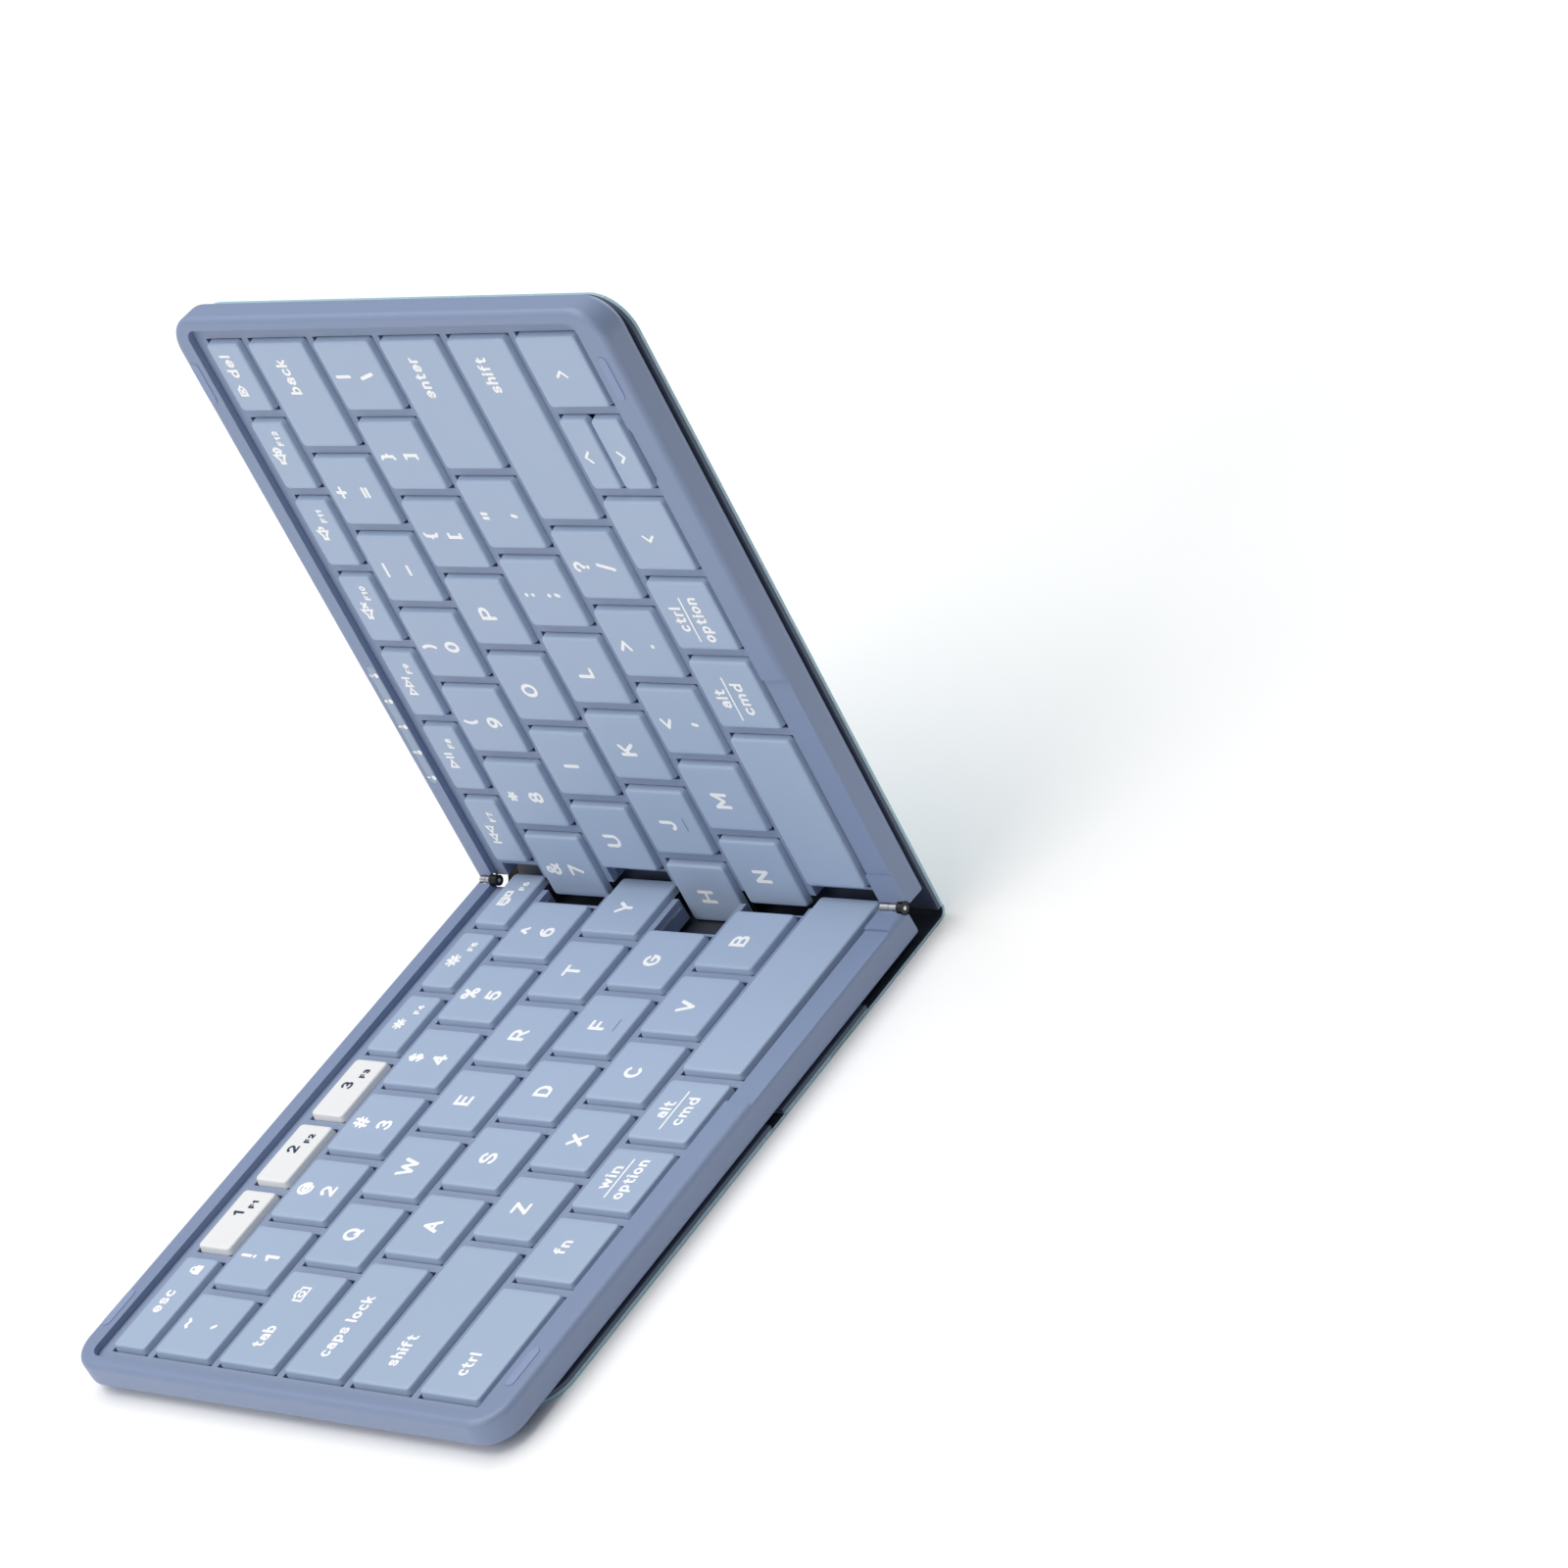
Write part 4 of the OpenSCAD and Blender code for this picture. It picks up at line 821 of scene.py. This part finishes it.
class Lettering:
    """Draws legends as flat strokes of even width.

    GRID and SAME_POINT are in grid units, ARC_STEP in degrees, SHARP_TURN in radians and LEVEL in
    millimetres. GAP and SPACE are shares of a legend's size. The sizes of dots and stroke ends
    are shares of half a stroke's width, and so is SAME_POINT in _stroke().
    """

    GRID = 5.0
    SAME_POINT = 0.01
    ARC_STEP = 20.0
    SHARP_TURN = math.radians(100)
    GAP = 0.13
    SPACE = 0.4
    LEVEL = 0.003
    DOT_CORNERS = 10
    DOT_RADIUS = 1.25
    NECK_REACH, NECK_WIDTH = 0.65, 0.9
    TIP_WIDTH = 0.55
    MITRE_LIMIT = 0.5

    def __init__(self) -> None:
        """Starts without any parsed signs."""
        self.known: dict[str, list[list[Vector]]] = {}

    def strokes(self, name: str) -> list[list[Vector]]:
        """Gives the strokes of a sign as lines of points on the grid.

        Args:
            name: The sign.

        Returns:
            Its strokes, parted at sharp turns so that each keeps its full width there.
        """
        if name not in self.known:
            lines = [self._line(part) for part in GLYPHS[name].split("|")]
            self.known[name] = [piece for line in lines for piece in self._parted(line)]
        return self.known[name]

    def _line(self, code: str) -> list[Vector]:
        """Reads one stroke.

        Args:
            code: Its points and arcs.

        Returns:
            Its points, with each arc turned into short pieces.
        """
        points: list[Vector] = []
        for token in code.split():
            fields = [tuple(float(value) for value in part.split(",")) for part in token.split(";")]
            if len(fields) == 1:
                points.append(Vector(fields[0]))
                continue
            (cx, cy), (rx, ry), (start, end) = fields
            count = math.ceil(abs(end - start) / self.ARC_STEP)
            for i in range(count + 1):
                angle = math.radians(start + (end - start) * i / count)
                point = Vector((cx + rx * math.cos(angle), cy + ry * math.sin(angle)))
                if not points or (point - points[-1]).length > self.SAME_POINT:
                    points.append(point)
        return points

    def _parted(self, line: list[Vector]) -> list[list[Vector]]:
        """Parts an open line at its sharp turns.

        Args:
            line: The line's points.

        Returns:
            The parts, or the whole line where it is closed.
        """
        if len(line) < 3 or (line[0] - line[-1]).length < self.SAME_POINT:
            return [line]
        parts = [[line[0]]]
        for before, point, after in zip(line, line[1:], line[2:]):
            parts[-1].append(point)
            if (point - before).angle(after - point) > self.SHARP_TURN:
                parts.append([point])
        parts[-1].append(line[-1])
        return parts

    def add(self, mesh: BMesh, legend: Legend, x: float, y: float) -> None:
        """Adds one legend to a mesh, at heights just above zero.

        Args:
            mesh: Mesh to add to.
            legend: The legend.
            x: Middle of the key top along X.
            y: Middle of the key top along Y.
        """
        stroke = legend.weight * legend.size
        unit = (legend.size - stroke) / self.GRID
        cursor = 0.0
        placed = []
        for name in [legend.text] if legend.text in GLYPHS else legend.text:
            if name == " ":
                cursor += self.SPACE * legend.size
                continue
            lines = self.strokes(name)
            low = min(point.x for line in lines for point in line)
            high = max(point.x for line in lines for point in line)
            placed.append((lines, cursor - low * unit))
            cursor += (high - low) * unit + stroke + self.GAP * legend.size
        total = cursor - stroke - self.GAP * legend.size
        stretch = (legend.width - stroke) / total if legend.width else 1.0
        start = Vector((x + legend.x - total * stretch / 2, y + legend.y - self.GRID / 2 * unit))
        for lines, shift in placed:
            for level, line in enumerate(lines):
                points = [start + Vector(((shift + p.x * unit) * stretch, p.y * unit)) for p in line]
                self._stroke(mesh, points, stroke / 2, level * self.LEVEL)

    def _stroke(self, mesh: BMesh, points: list[Vector], half: float, z: float) -> None:
        """Adds a flat stroke along a line, with soft ends, or a dot where there is one point.

        Args:
            mesh: Mesh to add to.
            points: Points of the line, the first repeated at the end where it is closed.
            half: Half of the stroke's width.
            z: Height of the stroke.
        """
        if len(points) == 1:
            turns = [2 * math.pi * i / self.DOT_CORNERS for i in range(self.DOT_CORNERS)]
            rim = [points[0] + self.DOT_RADIUS * half * Vector((math.cos(a), math.sin(a))) for a in turns]
            mesh.faces.new([mesh.verts.new((*point, z)) for point in rim])
            return
        closed = (points[0] - points[-1]).length < half * self.SAME_POINT
        widths = [half] * len(points)
        if closed:
            points = points[:-1]
        else:
            first = (points[0] - points[1]).normalized() * half
            last = (points[-1] - points[-2]).normalized() * half
            start, end = points[0], points[-1]
            points = [start + first, start + first * self.NECK_REACH, *points]
            points += [end + last * self.NECK_REACH, end + last]
            taper = [half * self.TIP_WIDTH, half * self.NECK_WIDTH]
            widths = [*taper, *widths, *reversed(taper)]
        count = len(points)
        sides = []
        for i, (point, width) in enumerate(zip(points, widths)):
            into = point - points[i - 1] if closed or i > 0 else points[1] - point
            out = points[(i + 1) % count] - point if closed or i + 1 < count else into
            into, out = into.normalized(), out.normalized()
            normal = Vector((-into.y - out.y, into.x + out.x)).normalized()
            offset = normal * width / max(normal.dot(Vector((-into.y, into.x))), self.MITRE_LIMIT)
            sides.append([mesh.verts.new((*(point + side * offset), z)) for side in (1, -1)])
        for i in range(count if closed else count - 1):
            near, far = sides[i], sides[(i + 1) % count]
            mesh.faces.new((near[0], near[1], far[1], far[0]))


@dataclass
class KeySet:
    """The keycaps of one half: hollow, with a leaning skirt, a rounded edge and a slight dish.

    Legends sit off the middle of their keys along the half by drift, which fades to nothing at
    reach. DISH pairs shares of the way in from the top's edge with shares of the dish's depth.
    """

    half: HalfFrame
    runs: Sequence[KeyRun]
    paints: Paintbox
    lettering: Lettering
    drift: float
    lean: float = 0.36
    corner: float = 1.2
    edge: float = 0.48
    wall: float = 0.9
    roof: float = 0.7
    dish: float = 0.06
    ink_lift: float = 0.022
    reach: float = 125.0
    steps: int = 5
    sharp: float = 50.0

    DISH = ((0.0, 0.0), (0.1, 0.12), (0.22, 0.35), (0.45, 0.75), (0.75, 1.0))

    def build(self) -> None:
        """Makes the caps and legends of every run."""
        for run in self.runs:
            self._build_run(run)

    def _build_run(self, run: KeyRun) -> None:
        """Makes one node's caps and the legends on them.

        Args:
            run: The keys and their legends.
        """
        solids = bmesh.new()
        inks = {finish: bmesh.new() for finish in (WHITE_INK, NAVY_INK, HOMING_BAR_SHADE)}
        boxes = self.half.solid_boxes(run.node)
        for index, ((low, high), legends) in enumerate(zip(boxes, run.legends, strict=True)):
            is_white = index < run.white
            self._cap(solids, low, high, 1 if is_white else 0)
            for legend in legends:
                # Homing bars take the painted shade colour; other legends are white or navy print.
                finish = HOMING_BAR_SHADE if legend.painted_shade else NAVY_INK if is_white else WHITE_INK
                self._print(inks[finish], legend, low, high)
        materials = [self.paints.material(KEYCAP), self.paints.material(WHITE_CAP)]
        caps = self.half.piece(f"{run.node}_caps", solids, materials)
        shade(caps, self.sharp)
        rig.ride(caps, run.node)
        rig.replaces(caps, run.node)
        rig.slot(caps, "keycap")
        for finish, mesh in inks.items():
            if not mesh.faces:
                mesh.free()
                continue
            ink = self.half.piece(f"{run.node}_{finish.name}", mesh, [self.paints.material(finish)])
            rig.ride(ink, run.node)

    def _print(self, mesh: BMesh, legend: Legend, low: Vector, high: Vector) -> None:
        """Prints a legend on a cap, following the dish of its top.

        Args:
            mesh: Mesh to add to.
            legend: The legend.
            low: Lowest corner of the CAD cap.
            high: Highest corner of the CAD cap.
        """
        middle = (low + high) / 2
        shift = self.drift * (1 - abs(middle.x) / self.reach)
        before = len(mesh.verts)
        self.lettering.add(mesh, legend, middle.x + shift, middle.y)
        mesh.verts.ensure_lookup_table()
        rim = self.lean + self.edge
        span = min(high.x - low.x, high.y - low.y) / 2 - rim
        for vertex in mesh.verts[before:]:
            x, y, _ = vertex.co
            inward = min(x - low.x, high.x - x, y - low.y, high.y - y) - rim
            vertex.co.z += high.z - self.dish * self._depth(inward / span) + self.ink_lift

    def _depth(self, share: float) -> float:
        """Gives the depth of the dish.

        Args:
            share: Distance in from the edge of the top, as a share of its half width.

        Returns:
            The depth, from 0 to 1.
        """
        for (start, upper), (end, lower) in zip(self.DISH, self.DISH[1:]):
            if share < end:
                return upper + (lower - upper) * max(share - start, 0.0) / (end - start)
        return 1.0

    def _cap(self, mesh: BMesh, low: Vector, high: Vector, slot: int) -> None:
        """Adds one keycap.

        Args:
            mesh: Mesh to add to.
            low: Lowest corner of the CAD cap.
            high: Highest corner of the CAD cap.
            slot: Material slot.
        """
        height = high.z - low.z
        side_top = height - self.edge
        hollow = [Layer(self.wall, high.z - self.roof), Layer(self.wall, low.z)]
        layers = [*hollow, Layer(0.0, low.z), Layer(self.lean * side_top / height, low.z + side_top)]
        start = layers[-1].inset
        for step in range(1, self.steps + 1):
            angle = math.radians(90 * step / self.steps)
            inset = start + self.edge * (1 - math.cos(angle))
            layers.append(Layer(inset, high.z - self.edge * (1 - math.sin(angle))))
        reach = min(high.x - low.x, high.y - low.y) / 2
        rim = layers[-1].inset
        for share, depth in self.DISH[1:]:
            layers.append(Layer(rim + (reach - rim) * share, high.z - self.dish * depth))
        loft(mesh, (low.x, high.x), (low.y, high.y), [self.corner] * 4, layers, self.steps, slot)


@dataclass
class Cover:
    """The leather cover: slabs over the three plates, with pressed creases and a bent spine.

    The spine begins as a thin tongue inside the inner panel's leather, tuck long, between
    tuck_heights over the cover's underside. It steps out to its full thickness across tuck_step,
    and starts to bend at bend_start from the hinge axis.
    """

    left: HalfFrame
    right: HalfFrame
    fold: float
    paints: Paintbox
    corner: float = 8.0
    cut_corner: float = 0.1
    edge: float = 0.28
    crease_depth: float = 0.14
    crease_lift: float = 0.04
    crease_lap: float = 0.3
    spine_thick: float = 0.6
    spine_sink: float = 0.08
    tuck: float = 12.5
    tuck_heights: Span = (0.3, 0.5)
    tuck_step: Span = (-0.2, 0.05)
    tuck_rise: float = 0.1
    bend_start: float = -8.0
    end_bevel: float = 0.15
    end_lift: float = 0.06
    corner_steps: int = 10
    edge_steps: int = 5
    crease_steps: int = 16
    flat_steps: int = 36
    turn_steps: int = 14
    slab_sharp: float = 50.0
    strip_sharp: float = 40.0

    def build(self) -> None:
        """Makes every leather piece."""
        self._slab("right_cover_leather", self.right, "right_half", (True, False))
        self._slab("inner_panel_leather", self.left, "inner_panel", (False, False))
        self._slab("outer_panel_leather", self.left, "outer_panel", (False, True))
        self._crease()
        self._spine()

    def _slab(self, node: str, half: HalfFrame, body: str, rounded: tuple[bool, bool]) -> None:
        """Makes one leather slab with a soft outer edge.

        Args:
            node: CAD node that it stands for.
            half: Frame of its half.
            body: Body that it rides on.
            rounded: Whether its right and its left corners are rounded.
        """
        low, high = half.solid_boxes(node)[0]
        radii = [self.corner if round_end else self.cut_corner for round_end in rounded for _ in range(2)]
        turns = [math.radians(90 * i / self.edge_steps) for i in range(self.edge_steps + 1)]
        layers = [Layer(self.edge * (1 - math.sin(a)), low.z + self.edge * (1 - math.cos(a))) for a in turns]
        layers.append(Layer(0.0, high.z))
        mesh = bmesh.new()
        loft(mesh, (low.x, high.x), (low.y, high.y), radii, layers, self.corner_steps)
        piece = half.piece(f"{node}_skin", mesh, [self.paints.material(LEATHER)])
        shade(piece, self.slab_sharp)
        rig.ride(piece, body)
        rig.replaces(piece, node)
        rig.slot(piece, "leather")

    def _crease(self) -> None:
        """Makes the pressed strip between the two left panels, which bends with them."""
        low, high = self.left.solid_boxes("crease_leather")[0]
        middle = (low.x + high.x) / 2
        reach = (high.x - low.x) / 2 + self.crease_lap
        outer = []
        for i in range(self.crease_steps + 1):
            x = middle + reach * (2 * i / self.crease_steps - 1)
            dip = self.crease_depth * math.sqrt(max(1 - abs(x - middle) / reach, 0))
            outer.append((x, low.z + self.crease_lift + dip))
        inner = [(x, high.z) for x, _ in outer]
        piece = self._sweep("crease_leather_skin", outer, inner, low.y, high.y)
        origin = self.left.to_row
        start = origin @ Vector((high.x * MM, 0, low.z * MM))
        end = origin @ Vector((low.x * MM, 0, low.z * MM))
        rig.blend(piece, "inner_panel", "outer_panel", start, end)
        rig.replaces(piece, "crease_leather")
        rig.slot(piece, "leather")

    def _spine(self) -> None:
        """Makes the leather round the hinge, from inside the inner panel to the right cover."""
        low, high = self.left.solid_boxes("spine_leather")[0]
        tail = self.right.solid_boxes("right_cover_leather")[0]
        sunk = low.z + self.spine_sink
        flat_x = low.x + self.tuck_step[1]
        tuck = (low.x - self.tuck, low.x + self.tuck_step[0])
        outer = [(x, low.z + self.tuck_heights[0]) for x in tuck] + [(flat_x, sunk + self.tuck_rise)]
        inner = [(x, low.z + self.tuck_heights[1]) for x in tuck] + [(flat_x, low.z + self.spine_thick)]
        tail_point = self.right.to_row @ Vector((tail[0].x * MM, 0, tail[0].z * MM))
        end = self.left.to_row.inverted() @ tail_point / MM
        radius = (end.z - low.z) / (1 - math.cos(self.fold))
        bend_x = end.x - radius * math.sin(self.fold)
        for i in range(1, self.flat_steps + 1):
            x = flat_x + (bend_x - flat_x) * i / self.flat_steps
            outer.append((x, sunk))
            inner.append((x, low.z + self.spine_thick))
        centre_z = low.z + radius
        for i in range(1, self.turn_steps + 1):
            angle = self.fold * i / self.turn_steps
            depth = self.spine_sink * (1 - i / self.turn_steps)
            for line, reach in ((outer, radius - depth), (inner, radius - self.spine_thick)):
                line.append((bend_x + reach * math.sin(angle), centre_z - reach * math.cos(angle)))
        piece = self._sweep("spine_leather_skin", outer, inner, low.y, high.y)
        start = self.left.to_row @ Vector((self.bend_start * MM, 0, low.z * MM))
        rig.blend(piece, "left_half", "right_half", start, tail_point)
        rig.replaces(piece, "spine_leather")
        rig.slot(piece, "leather")

    def _sweep(
        self, name: str, outer: Sequence[Point], inner: Sequence[Point], y0: float, y1: float
    ) -> Object:
        """Makes a strip whose section lies in the XZ plane, swept along Y, with its inner faces in dark painted shade.

        Args:
            name: Name of the piece.
            outer: Outer line of the section.
            inner: Inner line of the section, with as many points.
            y0: Front end of the strip.
            y1: Rear end of the strip.

        Returns:
            The new piece.
        """
        mesh = bmesh.new()
        section = list(outer) + list(reversed(inner))
        count = len(outer)
        lift = self.end_lift
        rows = []
        for y, rise in ((y0, lift), (y0 + self.end_bevel, 0.0), (y1 - self.end_bevel, 0.0), (y1, lift)):
            heights = [rise] * count + [0.0] * count
            rows.append([mesh.verts.new((x, y, z + height)) for (x, z), height in zip(section, heights)])
        for lower, upper in zip(rows, rows[1:]):
            for i in range(len(section)):
                j = (i + 1) % len(section)
                face = mesh.faces.new((lower[j], lower[i], upper[i], upper[j]))
                # Inner faces get the dark painted shade finish.
                face.material_index = 1 if i >= count else 0
        for row, flip in ((rows[0], False), (rows[-1], True)):
            for i in range(count - 1):
                quad = [row[i], row[i + 1], row[2 * count - 2 - i], row[2 * count - 1 - i]]
                mesh.faces.new(list(reversed(quad)) if flip else quad)
        bmesh.ops.recalc_face_normals(mesh, faces=mesh.faces)
        piece = self.left.piece(name, mesh, [self.paints.material(LEATHER), self.paints.material(INNER_FACE_SHADE)])
        shade(piece, self.strip_sharp)
        return piece


@dataclass
class RibbonCable:
    """The ribbon cable, as a copy of its solid that bends round the hinge with the halves."""

    left: HalfFrame
    radius: float = 4.5

    def build(self) -> None:
        """Makes the bending copy, which keeps the solid's finish."""
        ribbon = show("flex_ribbon", frame["nodes"]["flex_cable"].data.copy())
        start = self.left.to_row @ Vector((0.0, 0.0, -self.radius * MM))
        end = self.left.to_row @ Vector((self.radius * MM, 0.0, 0.0))
        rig.blend(ribbon, "left_half", "right_half", start, end)
        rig.replaces(ribbon, "flex_cable")
        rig.slot(ribbon, "ribbon")


@dataclass
class Indicators:
    """The marks on the indicator window."""

    half: HalfFrame
    paints: Paintbox
    lettering: Lettering
    first: float = 1.5
    pitch: float = 6.25
    lift: float = 0.01

    MARKS = ("1", "2", "3", "A", "C")

    def build(self) -> None:
        """Prints the marks along the window, each with its lamp below."""
        low, high = self.half.solid_boxes("indicator_window")[0]
        middle = (low.y + high.y) / 2
        mesh = bmesh.new()
        for index, text in enumerate(self.MARKS):
            x = low.x + self.first + index * self.pitch
            self.lettering.add(mesh, Legend(text, 0.0, 0.62, 1.1, weight=0.22), x, middle)
            self.lettering.add(mesh, Legend(".", 0.0, -0.3, 2.2, weight=0.42), x, middle)
        for vertex in mesh.verts:
            vertex.co.z += high.z + self.lift
        ink = self.half.piece("indicator_marks", mesh, [self.paints.material(WHITE_INK)])
        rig.ride(ink, self.half.body)


@dataclass
class Studio:
    """Floor, light and a camera at the photo's angle, whose place is in the left half's frame."""

    left: HalfFrame
    paints: Paintbox
    floor_size: float = 8.0
    world_strength: float = 0.24

    CAMERA = Vector((-603.53, -852.51, 595.56)) * MM
    FORWARD = Vector((0.52052, 0.70053, -0.48818))
    RIGHT = Vector((0.54506, -0.71270, -0.44154))
    FOCAL_PX = 6504.6
    PHOTO_PX = 1600
    SENSOR_MM = 36.0
    CLIP_M = (0.05, 20.0)

    def build(self) -> None:
        """Sets up floor, lamps, world and camera."""
        self._floor()
        self._world()
        self._lamp("top", (-0.1, 0.35, 1.45), 1.5, 19.4)
        self._lamp("left", (-1.2, 0.25, 0.8), 1.0, 5.9)
        self._lamp("back", (1.25, 0.1, 0.38), 1.0, 6.0)
        self._camera()
        bpy.context.scene.view_settings.view_transform = "Standard"

    def _floor(self) -> None:
        """Lays the pale floor."""
        bpy.ops.mesh.primitive_plane_add(size=self.floor_size)
        floor = bpy.context.object
        floor.name = "floor"
        floor.data.materials.append(self.paints.material(FLOOR))
        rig.stage(floor)

    def _world(self) -> None:
        """Lights the scene softly from all round."""
        world = bpy.data.worlds.new("studio")
        world.use_nodes = True
        background = world.node_tree.nodes["Background"]
        background.inputs["Color"].default_value = (1.0, 1.0, 1.0, 1.0)
        background.inputs["Strength"].default_value = self.world_strength
        bpy.context.scene.world = world

    @staticmethod
    def _lamp(name: str, place: tuple[float, float, float], size: float, power: float) -> None:
        """Hangs one soft square lamp that faces the keyboard.

        Args:
            name: Name of the lamp.
            place: Where it hangs, in metres.
            size: Its side, in metres.
            power: Its power in watts.
        """
        data = bpy.data.lights.new(name, "AREA")
        data.size = size
        data.energy = power
        lamp = bpy.data.objects.new(name, data)
        lamp.location = place
        lamp.rotation_mode = "QUATERNION"
        lamp.rotation_quaternion = (-Vector(place)).to_track_quat("-Z", "Y")
        bpy.context.scene.collection.objects.link(lamp)

    def _camera(self) -> None:
        """Puts the camera where the photo was taken from."""
        data = bpy.data.cameras.new("camera")
        data.sensor_width = self.SENSOR_MM
        data.lens = self.FOCAL_PX / self.PHOTO_PX * self.SENSOR_MM
        data.clip_start, data.clip_end = self.CLIP_M
        camera = bpy.data.objects.new("camera", data)
        up = self.RIGHT.cross(self.FORWARD)
        turn = Matrix((self.RIGHT, up, -self.FORWARD)).transposed()
        place = self.left.to_row @ self.CAMERA
        camera.matrix_world = Matrix.Translation(place) @ turn.to_4x4()
        bpy.context.scene.collection.objects.link(camera)
        bpy.context.scene.camera = camera


def write_size(label: str) -> None:
    """Args:
        label: Stage of the script that they belong to.
    """
    low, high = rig.bounds()
    sizes = json.loads(SIZE_FILE.read_text()) if SIZE_FILE.exists() and label != "loaded" else {}
    sizes[label] = {"low": list(low), "high": list(high), "size": list(high - low)}
    SIZE_FILE.write_text(json.dumps(sizes, indent=1))


def half_frames() -> tuple[HalfFrame, HalfFrame, float]:
    """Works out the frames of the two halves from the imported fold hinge.

    Returns:
        The left frame, the right frame and the fold angle from flat in radians.
    """
    hinge = next(joint for joint in frame["joints"] if joint["name"] == "fold_hinge")
    fold = math.radians(-hinge["range_deg"][0])
    origin = Matrix.Translation(Vector(hinge["pos_m"]))
    left = HalfFrame("left_half", origin)
    right = HalfFrame("right_half", origin @ Matrix.Rotation(-fold, 4, "Y"))
    return left, right, fold


def paint_frame(paints: Paintbox) -> None:
    """Gives every shown CAD node its finish and smooth shading.

    Args:
        paints: Maker of materials.
    """
    for name, finish in NODE_FINISH.items():
        node = frame["nodes"][name]
        node.data.materials.clear()
        node.data.materials.append(paints.material(finish))
        shade(node, SOLID_SHARP)


def main() -> None:
    """Builds the whole scene."""
    logging.basicConfig(level=logging.INFO)
    write_size("loaded")
    left, right, fold = half_frames()
    paints = Paintbox()
    lettering = Lettering()
    paint_frame(paints)
    KeySet(left, LEFT_RUNS, paints, lettering, -0.55).build()
    KeySet(right, RIGHT_RUNS, paints, lettering, -0.75).build()
    Cover(left, right, fold, paints).build()
    RibbonCable(left).build()
    Indicators(right, paints, lettering).build()
    Studio(left, paints).build()
    write_size("finished")


if __name__ == "__main__":
    main()
